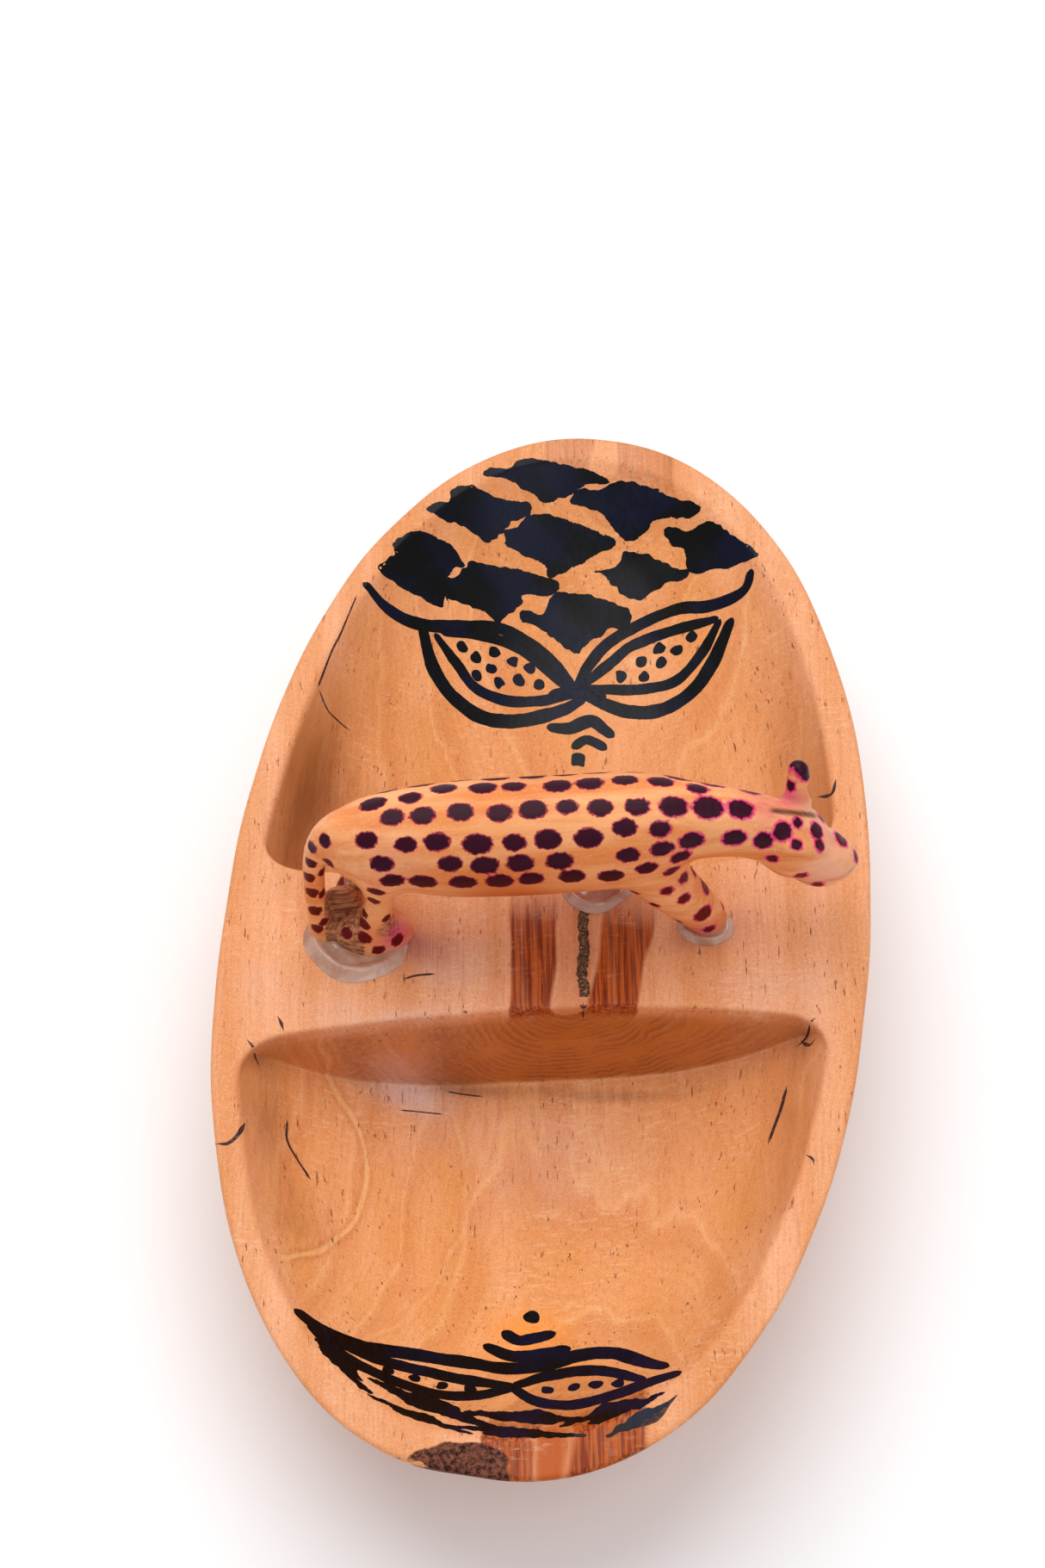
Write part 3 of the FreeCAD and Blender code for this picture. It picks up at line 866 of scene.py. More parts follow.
def drawing(slope, plan, seed):
    """One hollow's whole mask, drawn on its unrolled slope and laid back in plan."""
    draw = np.random.default_rng(seed)
    sheets = []
    for across, out, half_wide, half_high, turn in plan["scales"]:
        unit = np.array(SCALE) + draw.normal(size=(len(SCALE), 2)) * 0.08
        local = unit * [half_wide, half_high]
        cos, sin = math.cos(math.radians(turn)), math.sin(math.radians(turn))
        flat = np.column_stack([across + local[:, 0] * cos - local[:, 1] * sin,
                                out + local[:, 0] * sin + local[:, 1] * cos])
        flat[:, 1] = np.minimum(flat[:, 1], slope.end)
        sheets.append(blot(slope.unroll(flat), 0.22, seed + len(sheets)))
    for number, (line, heavy) in enumerate(plan["strokes"]):
        sheets.append(stroke(slope.unroll(line), INK_WIDTH * heavy, seed + 30 + number))
    for dot in plan["dots"] + [plan["nose"]]:
        angles = np.linspace(0, 2 * math.pi, 9)[:-1]
        size = DOT_SIZE * (1.3 if dot == plan["nose"] else 1.0) * (1 + 0.12 * draw.normal(size=8))
        ring = np.column_stack([np.cos(angles), np.sin(angles)]) * size[:, None]
        sheets.append(blot(slope.unroll([dot])[0] + ring, 0.06, seed + len(sheets)))
    return [(slope.roll(flat), faces) for flat, faces in sheets]


def build_ink(material, heights):
    """A mask drawn with a broad marker in each hollow, looking out from the bridge."""
    for name, slope, plan, seed in (("far_drawing", Slope(FAR, 142.0), FAR_DRAWING, 40),
                                    ("near_drawing", Slope(NEAR, 138.6), NEAR_DRAWING, 140)):
        sheets = drawing(slope, plan, seed)
        if slope.side == NEAR:
            sheets = [(flat, [face[::-1] for face in faces]) for flat, faces in sheets]
        flat, faces = join_sheets(sheets)
        film(name, flat, faces, heights, material)


# ---------------------------------------------------------------------------- marks on the wood
# Hairline cracks and knocks in plan: points along each, and its width.
CRACKS = [([(-72.7, -71.4), (-69.8, -71.1), (-67.7, -68.6), (-66.6, -64.0)], 0.9),
          ([(63.5, -26.4), (65.6, -25.2), (67.6, -23.4)], 0.8),
          ([(64.6, -25.0), (66.6, -27.6), (68.0, -26.6)], 0.8),
          ([(58.4, -52.6), (59.9, -46.8), (61.1, -42.3), (62.0, -36.9)], 0.8),
          ([(67.2, -60.6), (68.9, -61.8), (69.4, -63.4)], 0.7),
          ([(-71.0, 10.8), (-68.6, 10.6), (-65.6, 12.2)], 1.3),
          ([(64.7, 43.6), (68.1, 42.2), (69.0, 46.2)], 0.8),
          ([(-33.4, -22.4), (-30.0, -20.9), (-25.6, -20.1)], 0.55),
          ([(-58.1, -56.3), (-57.4, -62.0), (-54.7, -66.0), (-50.5, -70.8)], 0.6),
          ([(-22.0, -34.3), (-17.6, -34.4), (-12.9, -34.4)], 0.4),
          ([(-32.7, -42.1), (-28.0, -41.4), (-22.2, -41.0)], 0.35),
          ([(-69.0, -42.8), (-67.6, -44.2), (-65.9, -46.0)], 1.3),
          ([(-62.6, -35.5), (-61.4, -37.4), (-60.5, -39.6)], 0.8),
          ([(31.0, -134.6), (36.2, -131.2), (41.4, -125.0)], 2.8),
          ([(-58.6, 91.5), (-61.2, 80.0), (-63.0, 73.5), (-65.2, 62.5)], 0.42),
          ([(-64.9, 62.0), (-62.5, 58.6), (-60.0, 57.6), (-56.6, 57.0)], 0.42)]
# Where the long crack leaves the bridge's top, and how far out it runs down over the edge.
CRACK_END = (11.1, -25.36)
CRACK_FALL = 0.55


def crack_tail(lanes=4, count=14):
    """The long crack's last stretch, over the bridge's near edge; returns (plan, faces)."""
    run = np.linspace(0, 1, count)
    half = 0.95 * (1 - run) ** 0.7 + 0.05
    plan = np.concatenate([np.column_stack([CRACK_END[0] + lane * half,
                                            CRACK_END[1] - CRACK_FALL * run])
                           for lane in np.linspace(-1, 1, lanes + 1)])
    return plan, strip_faces(lanes, count)


def build_cracks(material, heights):
    """Short dark cracks in the rim, in the corners and on the walls."""
    sheets = [stroke(line, width, 300 + number, taper=(0.15, 0.15), spacing=0.35, lanes=2)
              for number, (line, width) in enumerate(CRACKS)]
    sheets.append(crack_tail())
    plan, faces = join_sheets(sheets)
    film("hairline_cracks", plan, faces, heights, material, proud=0.05, sunk=0.4)


def gather(x, y, spots):
    """Soft round marks: each spot is x, y, reach across, reach along and strength."""
    total = np.zeros(len(x))
    for spot_x, spot_y, wide, tall, strength in spots:
        total += strength * np.exp(-((x - spot_x) / wide) ** 2 - ((y - spot_y) / tall) ** 2)
    return total


# Pink-mauve marks, most of them about the leopard's feet: partly its dye bled into the wood, partly
# painted shade under the leopard.
DYE_AND_SHADE_SPOTS = [(-27.0, -13.0, 8.0, 5.5, 0.34), (-33.0, -12.0, 6.0, 5.0, 0.5),
             (46.0, 1.0, 8.0, 5.0, 0.3), (37.0, -4.0, 8.0, 4.0, 0.3), (3.0, 1.0, 7.0, 3.5, 0.25),
             (-57.5, -62.0, 6.0, 9.0, 0.35)]
# Dark brown marks: partly dirt, partly painted shade in the hollows' corners and along the feet of
# the bridge's walls.
DIRT_AND_SHADE_SPOTS = [(-66.0, 26.0, 10.0, 24.0, 0.55), (-58.0, 40.0, 14.0, 18.0, 0.35),
              (-62.0, -58.0, 6.0, 12.0, 0.45), (-52.0, -84.0, 14.0, 16.0, 0.4),
              (-46.0, -36.0, 10.0, 3.0, 0.55), (-18.0, -33.0, 14.0, 3.0, 0.6),
              (20.0, -31.5, 24.0, 2.5, 0.55), (-68.0, -44.0, 4.0, 5.0, 0.6),
              (66.0, -26.0, 5.0, 6.0, 0.5), (4.0, -134.0, 26.0, 5.0, 0.35),
              (62.0, -44.0, 5.0, 12.0, 0.25), (-30.0, 14.0, 30.0, 3.5, 0.5),
              (30.0, 20.0, 34.0, 3.5, 0.4)]
# Painted shade on the hollows' inner walls, darkest on the far hollow's left wall.
WALL_SHADE_SPOTS = [(-66.0, 34.0, 26.0, 42.0, 1.0), (62.0, 34.0, 20.0, 46.0, 0.75),
              (-66.0, -50.0, 18.0, 34.0, 0.55), (62.0, -58.0, 14.0, 36.0, 0.4)]
AMBER_SPOTS = [(5.0, -103.0, 9.0, 6.0, 0.9), (8.0, -113.0, 13.0, 4.0, 0.6)]
# Bleached places; the two in the near hollow beside the bridge's near wall are a painted highlight.
PALE_AND_HIGHLIGHT_SPOTS = [(-30.0, -37.5, 9.0, 4.5, 1.6), (-68.0, -27.0, 5.0, 6.0, 0.5),
              (-16.0, -19.0, 22.0, 8.0, 0.9), (44.0, -14.0, 24.0, 10.0, 0.6),
              (-4.0, -50.0, 26.0, 16.0, 0.7), (-40.0, -33.0, 18.0, 5.0, 0.7),
              (68.0, -10.0, 5.0, 30.0, 0.3)]
# A buried knot at the left spreads the growth lines in two rounds about it.
KNOT_AT = (-64.0, -67.0)
KNOT_REACH, BULGE_REACH = 25.5, 50.0
HEART_TURN = math.radians(2.4)
HEART_AT = (PITH[0] - 1.2, -20.0)
HEART_STRETCH = 0.82     # rings on the right of the pith lie this much further apart


def heart_axes(points):
    """Points as across and under the pith, which wanders a little from the grain."""
    x, y = points[:, 0] - HEART_AT[0], points[:, 1] - HEART_AT[1]
    across = x * math.cos(HEART_TURN) + y * math.sin(HEART_TURN)
    return np.where(across > 0, HEART_STRETCH * across, across), points[:, 2] - RIM


def end_grain(piece):
    """How squarely each place cuts across the grain: there the wood drinks in more oil."""
    normals = np.empty(len(piece.data.vertices) * 3, np.float32)
    piece.data.vertex_normals.foreach_get("vector", normals)
    normals = normals.reshape(-1, 3)
    return np.abs(normals[:, 1] * math.cos(GRAIN_TURN) - normals[:, 0] * math.sin(GRAIN_TURN))


def mark_bowl(piece):
    """The bowl's vertex values: rings and growth lines, depth, end grain, heart, stains, painted
    shade, a painted highlight and bark.
    """
    points = vertices(piece)
    x, y, z = points.T
    across, under = heart_axes(points)
    deep = smooth_step(RIM - 0.5, RIM - 8, z)
    level = smooth_step(RIM - 7, RIM - 1, z)
    reach = dish_reach(x, y)
    # Stains, painted shade and the painted highlight stay on the inside of the hollows, off the
    # hull's outside.
    inner = smooth_step(-5.0, -2.5, z - RIM + dish_depth(np.minimum(reach, 1)))
    within = smooth_step(1.05, 1.0, reach) * inner
    sway = 2.2 * waves(x, y, z, 60.0, 31) + 0.5 * waves(x, y, z, 17.0, 32)
    shake = 0.8 * waves(x, y, z, 15.0, 34)
    add_value(piece, "ring", np.hypot(across, under) + sway)
    for name, wide, tall in (("knot", KNOT_REACH, 33.0), ("bulge", BULGE_REACH, 60.0)):
        away = np.hypot((x - KNOT_AT[0]) / wide, (y - KNOT_AT[1]) / tall)
        add_value(piece, name, wide * away + shake)
    add_value(piece, "deep", deep)
    add_value(piece, "end", end_grain(piece))
    oiled = 0.45 + 0.55 * smooth_step(-40, 0, x) - 0.35 * smooth_step(24, 60, x)
    add_value(piece, "oiled", oiled)
    add_value(piece, "core", 0.3 * smooth_step(70, 30, y) + 0.6 * smooth_step(-124, -134, y))
    heart = (smooth_step(6, -8, y) + 0.35 * smooth_step(70, 110, y)) * level
    add_value(piece, "heart", np.clip(heart + 0.30 * smooth_step(60, 20, y), 0, 1))
    # Pink dye bled from the leopard, and painted shade under it, near the rim's height.
    add_value(piece, "dye_and_shade", gather(x, y, DYE_AND_SHADE_SPOTS) * smooth_step(RIM - 14, RIM - 4, z))
    # Dirt and painted shade in the corners and at the walls' feet, stronger deeper down.
    add_value(piece, "dirt_and_shade", gather(x, y, DIRT_AND_SHADE_SPOTS) * (0.25 + 0.75 * deep) * within)
    # Bleached places and a painted highlight beside the bridge's near wall.
    add_value(piece, "pale", gather(x, y, PALE_AND_HIGHLIGHT_SPOTS) * inner)
    add_value(piece, "amber", gather(x, y, AMBER_SPOTS) * inner)
    # Painted shade on the hollows' walls, starting just under the rounded top edge.
    shade = gather(x, y, WALL_SHADE_SPOTS) * smooth_step(0.78, 0.93, reach)
    add_value(piece, "wall", shade * smooth_step(RIM - 0.4, RIM - 1.8, z) * within)
    scar = np.hypot((x - BARK_AT[0]) / 11.0, (y - BARK_AT[1]) / 5.2)
    add_value(piece, "bark", smooth_step(1.25, 0.75, scar + 0.15 * waves(x, y, z, 5.0, 33)))


# ---------------------------------------------------------------------------- glue and filler
GLUE_SIDES = 96
GLUE_BURIED = 0.4        # how far a puddle's flat underside lies in the wood


def build_glue(node, name, material, seed, lip):
    """A set puddle of glue with a rounded lip, a shallow middle and a flat underside."""
    low, high = box_mm(node)
    centre, half = (low + high) / 2, (high - low) / 2
    draw = np.random.default_rng(seed)
    angle = np.linspace(0, 2 * math.pi, GLUE_SIDES + 1)[:-1]
    wobble = sum(draw.normal() * 0.022 * np.cos(k * angle + draw.uniform(0, 6)) for k in (2, 3, 5))
    top = high[2] - RIM + 0.15
    share = np.concatenate([np.linspace(0, 0.9, 19), [0.94, 0.97, 0.99, 1.0]])
    rows = []
    for u in share:
        dome = (1 - u ** 5) ** 0.6
        ridge = np.exp(-((u - 0.78) / 0.13) ** 2) * (0.80 + 0.35 * np.cos(angle - 4.3))
        waver = 0.05 * np.cos(3 * angle + 9 * u) + 0.04 * np.cos(5 * angle - 7 * u)
        height = top * dome * (1 - lip + lip * ridge + 0.5 * waver)
        reach = u * (1 + wobble)
        rows.append(np.column_stack([centre[0] + half[0] * reach * np.cos(angle),
                                     centre[1] + half[1] * reach * np.sin(angle),
                                     RIM - 0.05 + np.clip(height, 0, None)]))
    rows.append(rows[-1] * [1, 1, 0] + [0, 0, RIM - GLUE_BURIED])
    mesher = Mesher()
    ids = mesher.add(np.stack(rows[1:])).reshape(len(rows) - 1, GLUE_SIDES)
    middle = mesher.add(rows[0][:1].reshape(1, 3)).ravel()[0]
    under = mesher.add(np.array([[centre[0], centre[1], RIM - GLUE_BURIED]])).ravel()[0]
    for n in range(GLUE_SIDES):
        m = (n + 1) % GLUE_SIDES
        mesher.face(middle, ids[0][n], ids[0][m])
        mesher.face(under, ids[-1][m], ids[-1][n])
        for r in range(len(rows) - 2):
            mesher.face(ids[r][n], ids[r + 1][n], ids[r + 1][m], ids[r][m])
    piece = mesh_piece(name, np.array(mesher.points), mesher.faces, material)
    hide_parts(node)


def build_filler(material):
    """The dark granular stopping that fills the crack, a little under the bridge top."""
    crack = crack_loop()
    middle = crack.mean(axis=0)
    loop = resample(middle + (crack - middle) * [0.96, 0.995], 0.45, closed=True)
    plan, triangles = fill_between(loop, [], 0.45)
    draw = np.random.default_rng(9)
    edge = np.array([np.min(np.hypot(*(loop - p).T)) for p in plan])
    lumps = draw.normal(size=len(plan)) * 0.13 * smooth_step(0.0, 0.4, edge)
    top = RIM - 0.28 + 0.12 * smooth_step(0.0, 0.6, edge) + lumps
    count = len(plan)
    points = np.vstack([np.column_stack([plan, top]),
                        np.column_stack([plan, np.full(count, RIM - SLOT_DEPTH + 0.1)])])
    faces = triangles.tolist()
    rim = [int(np.argmin(np.hypot(*(plan - p).T))) for p in loop]
    sides = [[a, b, b + count, a + count] for a, b in zip(rim, rim[1:] + rim[:1])]
    under = [[c + count for c in reversed(face)] for face in faces]
    piece = mesh_piece("crack_stopping", points, faces + under + sides, material)
    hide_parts("crack_filler")


# ---------------------------------------------------------------------------- looks
def srgb(red, green, blue):
    """A display colour as linear values."""
    channels = np.array([red, green, blue]) / 255
    linear = np.where(channels < 0.04045, channels / 12.92, ((channels + 0.055) / 1.055) ** 2.4)
    return (*linear.tolist(), 1.0)


class Look:
    """A material and short ways to add shader nodes to it."""

    def __init__(self, name):
        self.material = bpy.data.materials.new(name)
        self.material.use_nodes = True
        self.tree = self.material.node_tree
        self.shader = self.tree.nodes["Principled BSDF"]

    def node(self, kind, **settings):
        made = self.tree.nodes.new("ShaderNode" + kind)
        for key, value in settings.items():
            setattr(made, key, value)
        return made

    def feed(self, socket, value):
        if isinstance(value, bpy.types.NodeSocket):
            self.tree.links.new(value, socket)
        else:
            socket.default_value = value

    def math(self, operation, first, second=0.0, third=0.0):
        made = self.node("Math", operation=operation)
        for socket, value in zip(made.inputs, (first, second, third)):
            self.feed(socket, value)
        return made.outputs[0]

    def span(self, value, low, high, to_low=0.0, to_high=1.0):
        made = self.node("MapRange", interpolation_type="SMOOTHSTEP")
        for socket, number in zip(made.inputs, (value, low, high, to_low, to_high)):
            self.feed(socket, number)
        return made.outputs[0]

    def times(self, first, *others):
        """The product of all the values."""
        for other in others:
            first = self.math("MULTIPLY", first, other)
        return first

    def plus(self, first, *others):
        """The sum of all the values."""
        for other in others:
            first = self.math("ADD", first, other)
        return first

    def waver(self, noise, reach):
        """Noise from 0 to 1 made to swing by a reach either way."""
        return self.math("MULTIPLY_ADD", noise, 2 * reach, -reach)

    def cycle(self, value, length):
        """How far a value has come through its present length, from 0 to 1."""
        return self.math("FRACT", self.math("DIVIDE", value, length))

    def paint(self, colour, tone, *shares):
        """The colour with a tone over it, as strong as the product of the shares."""
        return self.mix(self.times(*shares), colour, tone)

    def mix(self, share, first, second):
        made = self.node("Mix", data_type="RGBA")
        self.feed(made.inputs[0], share)
        self.feed(made.inputs[6], first)
        self.feed(made.inputs[7], second)
        return made.outputs[2]

    def ramp(self, value, stops):
        made = self.node("ValToRGB")
        elements = made.color_ramp.elements
        while len(elements) < len(stops):
            elements.new(0.5)
        for element, (place, colour) in zip(elements, stops):
            element.position, element.color = place, colour
        self.feed(made.inputs[0], value)
        return made.outputs[0]

    def millimetres(self, turn=0.0, centre=(0.0, 0.0, 0.0), squash=(1.0, 1.0, 1.0)):
        """Object coordinates in millimetres, turned about the vertical, then squashed."""
        place = self.node("Mapping")
        self.feed(place.inputs[0], self.node("TexCoord").outputs["Object"])
        cos, sin = math.cos(turn), math.sin(turn)
        place.inputs["Scale"].default_value = (1 / MM, 1 / MM, 1 / MM)
        place.inputs["Rotation"].default_value = (0, 0, turn)
        place.inputs["Location"].default_value = (-(centre[0] * cos - centre[1] * sin),
                                                  -(centre[0] * sin + centre[1] * cos), -centre[2])
        scale = self.node("VectorMath", operation="MULTIPLY")
        self.feed(scale.inputs[0], place.outputs[0])
        scale.inputs[1].default_value = squash
        return scale.outputs[0]

    def noise(self, place, scale, detail=3.0, rough=0.55):
        made = self.node("TexNoise")
        self.feed(made.inputs["Vector"], place)
        for key, value in (("Scale", scale), ("Detail", detail), ("Roughness", rough)):
            made.inputs[key].default_value = value
        return made.outputs["Fac"]

    def attribute(self, name):
        return self.node("Attribute", attribute_name=name).outputs["Fac"]

    def bump(self, height, strength, distance):
        made = self.node("Bump")
        self.feed(made.inputs["Height"], height)
        made.inputs["Strength"].default_value = strength
        made.inputs["Distance"].default_value = distance
        return made.outputs[0]

    def set(self, **values):
        for key, value in values.items():
            self.feed(self.shader.inputs[key.replace("_", " ")], value)
        return self.material


WOOD_PALE = srgb(238, 170, 126)
WOOD_WARM = srgb(220, 142, 84)
WOOD_HEART = srgb(114, 28, 0)
WOOD_HEART_SOFT = srgb(178, 74, 2)
DIRT_AND_SHADE_TONE = srgb(120, 62, 34)
DYE_AND_SHADE_TONE = srgb(150, 74, 84)


def bowl_wood():
    """Oiled pale wood: rings about the pith, red heart beside the crack, pores and wear."""
    look = Look("bowl_wood_look")
    turn, pith = -GRAIN_TURN, (*PITH, RIM)
    straight = look.millimetres(turn, pith, (1.0, 0.035, 1.0))
    dashes = look.millimetres(turn, pith, (1.0, 0.16, 1.0))
    across = look.millimetres(turn, pith, (0.30, 1.0, 0.30))
    even = look.millimetres()
    deep = look.attribute("deep")
    smooth_ring = look.attribute("ring")
    ring = look.plus(smooth_ring, look.waver(look.noise(straight, 0.12), 2.0))
    # The ground colour in broad bands and clouds, warmer inside the hollows.
    broad = look.noise(straight, 0.055, 4.0, 0.6)
    cloud = look.noise(even, 0.030, 4.0, 0.6)
    colour = look.mix(look.span(broad, 0.36, 0.66), WOOD_PALE, WOOD_WARM)
    colour = look.paint(colour, srgb(228, 150, 98), look.span(cloud, 0.40, 0.70), 0.45)
    colour = look.paint(colour, srgb(234, 156, 86), deep, 0.50)
    # Growth rings: a wide dark late wood with a thin light line after it.
    turnover = look.cycle(ring, 11.5)
    late = look.times(look.span(turnover, 0.55, 0.93), look.span(turnover, 1.0, 0.95))
    shown = look.math("MULTIPLY_ADD", deep, 0.75, 0.25)
    colour = look.paint(colour, srgb(204, 116, 58), late, 0.30, shown)
    line = look.times(look.span(turnover, 0.0, 0.03), look.span(turnover, 0.10, 0.05))
    colour = look.paint(colour, srgb(255, 214, 160), line, 0.12, deep)
    for name, place, strength in (("knot", KNOT_REACH, 0.55), ("bulge", BULGE_REACH, 0.22)):
        away = look.math("ABSOLUTE", look.math("SUBTRACT", look.attribute(name), place))
        shown = look.times(deep, strength)
        colour = look.paint(colour, srgb(212, 130, 66), look.span(away, 2.4, 0.8), shown)
        colour = look.paint(colour, srgb(250, 196, 136), look.span(away, 0.9, 0.2), shown)
    fine = look.cycle(ring, 1.45)
    fine = look.times(look.span(fine, 0.2, 0.9), look.span(fine, 1.0, 0.93))
    colour = look.paint(colour, srgb(196, 112, 62), fine, 0.12)
    # Bleached places, and a painted highlight in the near hollow beside the bridge; streaks along
    # the grain and fine grit.
    pale = look.times(look.attribute("pale"), look.span(cloud, 0.30, 0.62))
    colour = look.paint(colour, srgb(226, 186, 172), pale, 0.55)
    streaks = look.noise(straight, 1.3, 2.0, 0.6)
    colour = look.paint(colour, srgb(200, 118, 74), look.span(streaks, 0.50, 0.74, 0.0, 0.34))
    grit = look.noise(even, 2.2, 3.0, 0.8)
    colour = look.paint(colour, srgb(168, 96, 66), look.span(grit, 0.52, 0.72, 0.0, 0.5))
    colour = look.paint(colour, srgb(255, 208, 170), look.span(grit, 0.48, 0.30, 0.0, 0.35))
    # The red heart: bands either side of the pith, and the core between them.
    patchy = look.span(look.noise(straight, 0.35), 0.36, 0.62, 0.86, 1.0)
    heart = look.times(look.span(ring, 4.6, 6.0), look.span(ring, 16.8, 15.8),
                       look.attribute("heart"), patchy)
    core = look.times(look.span(ring, 7.0, 3.0), look.attribute("core"))
    colour = look.paint(colour, WOOD_HEART_SOFT, core)
    red = look.mix(look.span(streaks, 0.40, 0.60), WOOD_HEART_SOFT, WOOD_HEART)
    colour = look.paint(colour, red, heart, 0.96)
    # Light flecks across the grain and dark pores along it.
    fleck = look.times(look.span(look.noise(across, 0.9, 2.0, 0.7), 0.52, 0.66),
                       look.span(look.noise(even, 0.035, 2.0), 0.45, 0.62))
    colour = look.paint(colour, srgb(255, 222, 184), fleck, 0.18)
    sparse = look.span(look.noise(even, 0.07, 2.0), 0.42, 0.62)
    pores = look.span(look.noise(dashes, 1.1, 2.0, 0.65), 0.635, 0.70)
    pore = look.times(pores, look.plus(sparse, 0.35))
    colour = look.paint(colour, srgb(126, 62, 40), pore, 0.62)
    # End grain drinks the oil and shows the rings as arcs.
    end = look.times(look.span(look.attribute("end"), 0.30, 0.95), look.attribute("oiled"))
    swung = look.math("MULTIPLY_ADD", look.noise(even, 0.08), 6.0, smooth_ring)
    arc = look.cycle(swung, 1.9)
    arc = look.times(look.span(arc, 0.1, 0.9), look.span(arc, 1.0, 0.92),
                     look.span(look.noise(even, 0.12), 0.35, 0.6))
    arcs = look.mix(arc, srgb(176, 96, 24), srgb(138, 66, 12))
    colour = look.paint(colour, arcs, end, deep, 0.78)
    # Stains and painted shade: amber, painted shade on the walls, dirt with painted shade in the
    # corners and at the walls' feet, and the leopard's pink dye with painted shade under it.
    colour = look.paint(colour, srgb(250, 148, 30), look.attribute("amber"), 0.7)
    # Painted shade on the hollows' walls.
    wall = look.times(look.attribute("wall"), look.span(broad, 0.30, 0.60, 0.75, 1.0))
    colour = look.paint(colour, srgb(166, 98, 48), wall, 0.85)
    ragged = look.waver(look.noise(dashes, 0.5, 4.0, 0.7), 0.55)
    # Dirt and painted shade in the corners and at the walls' feet, with ragged edges.
    dirt_and_shade = look.span(look.plus(look.attribute("dirt_and_shade"), look.times(ragged, 0.6)), 0.10, 0.95)
    colour = look.paint(colour, DIRT_AND_SHADE_TONE, dirt_and_shade, 0.72)
    # Pink dye and painted shade under the leopard, streaky along the grain.
    dye_and_shade = look.times(look.attribute("dye_and_shade"), look.span(streaks, 0.30, 0.64, 0.5, 1.0))
    colour = look.paint(colour, DYE_AND_SHADE_TONE, dye_and_shade)
    # The scrap of bark left at the near end.
    bark = look.span(look.plus(look.attribute("bark"), look.times(ragged, 0.5)), 0.35, 0.6)
    bark_tone = look.mix(look.span(look.noise(even, 0.9, 4.0, 0.7), 0.35, 0.65),
                         srgb(34, 12, 10), srgb(128, 74, 54))
    colour = look.paint(colour, bark_tone, bark)
    rough = look.span(look.noise(even, 0.25, 4.0, 0.6), 0.3, 0.7, 0.30, 0.46)
    rough = look.plus(rough, look.times(bark, 0.35))
    height = look.plus(look.times(streaks, 0.35), look.times(pore, -0.8),
                       look.times(look.noise(dashes, 0.45), 0.8),
                       look.times(bark, look.noise(even, 0.8, 5.0, 0.75)))
    return look.set(Base_Color=colour, Roughness=rough, Normal=look.bump(height, 0.45, 0.00024),
                    Specular_IOR_Level=0.10, Coat_Weight=0.03, Coat_Roughness=0.25)


def leopard_wood():
    """Orange-stained wood with black-purple spots that bled magenta into the grain."""
    look = Look("leopard_wood_look")
    grain = look.millimetres(-LEOPARD_TURN, (0, 0, RIM), (0.12, 1.0, 1.0))
    even = look.millimetres()
    streaks = look.noise(grain, 0.9, 4.0, 0.65)
    broad = look.noise(grain, 0.16)
    specks = look.noise(even, 1.8, 3.0, 0.7)
    colour = look.mix(look.span(broad, 0.35, 0.65), srgb(242, 170, 114), srgb(226, 134, 72))
    colour = look.paint(colour, srgb(200, 104, 52), look.span(streaks, 0.50, 0.74, 0.0, 0.4))
    colour = look.paint(colour, srgb(252, 208, 168), look.span(specks, 0.56, 0.74, 0.0, 0.5))
    colour = look.paint(colour, srgb(196, 92, 24), look.attribute("belly"), 0.8)
    colour = look.paint(colour, srgb(236, 170, 142), look.attribute("pale"))
    rub = look.span(look.plus(look.attribute("rub"), look.waver(streaks, 0.25)), 0.3, 0.7)
    rubbed = look.mix(look.span(streaks, 0.35, 0.65), srgb(206, 142, 100), srgb(122, 66, 40))
    colour = look.paint(colour, rubbed, rub)
    colour = look.paint(colour, srgb(206, 44, 116), look.attribute("pink"))
    # The halo is thin and dark at the low back end, wide and bright at the head.
    place = look.node("SeparateXYZ")
    look.feed(place.inputs[0], even)
    up = look.span(place.outputs[2], RIM + 22, RIM + 40)
    front = look.span(place.outputs[0], 16.0, 46.0)
    edge = look.plus(look.attribute("spot"), look.waver(look.noise(even, 0.8, 2.0, 0.5), 0.65))
    bleed = look.mix(front, look.mix(up, srgb(132, 8, 26), srgb(150, 8, 58)), srgb(214, 8, 112))
    width = look.span(front, 0.0, 1.0, 0.42, 0.85)
    colour = look.paint(colour, bleed, look.span(edge, width, 0.05), 0.9)
    worn = look.times(look.span(specks, 0.56, 0.72), look.math("SUBTRACT", 0.5, up))
    core = look.mix(worn, look.mix(up, srgb(92, 8, 10), srgb(52, 3, 26)), srgb(158, 44, 22))
    colour = look.paint(colour, core, look.span(edge, 0.08, -0.22))
    # Painted shade in the creases: the mouth line, under the brow ridge and at the far ear's root.
    colour = look.paint(colour, srgb(74, 26, 22), look.attribute("crease"))
    rough = look.span(streaks, 0.3, 0.7, 0.30, 0.44)
    relief = look.plus(look.times(streaks, 0.6), look.noise(even, 0.35, 2.0))
    return look.set(Base_Color=colour, Roughness=rough, Normal=look.bump(relief, 0.4, 0.00025),
                    Specular_IOR_Level=0.11, Coat_Weight=0.03, Coat_Roughness=0.22)


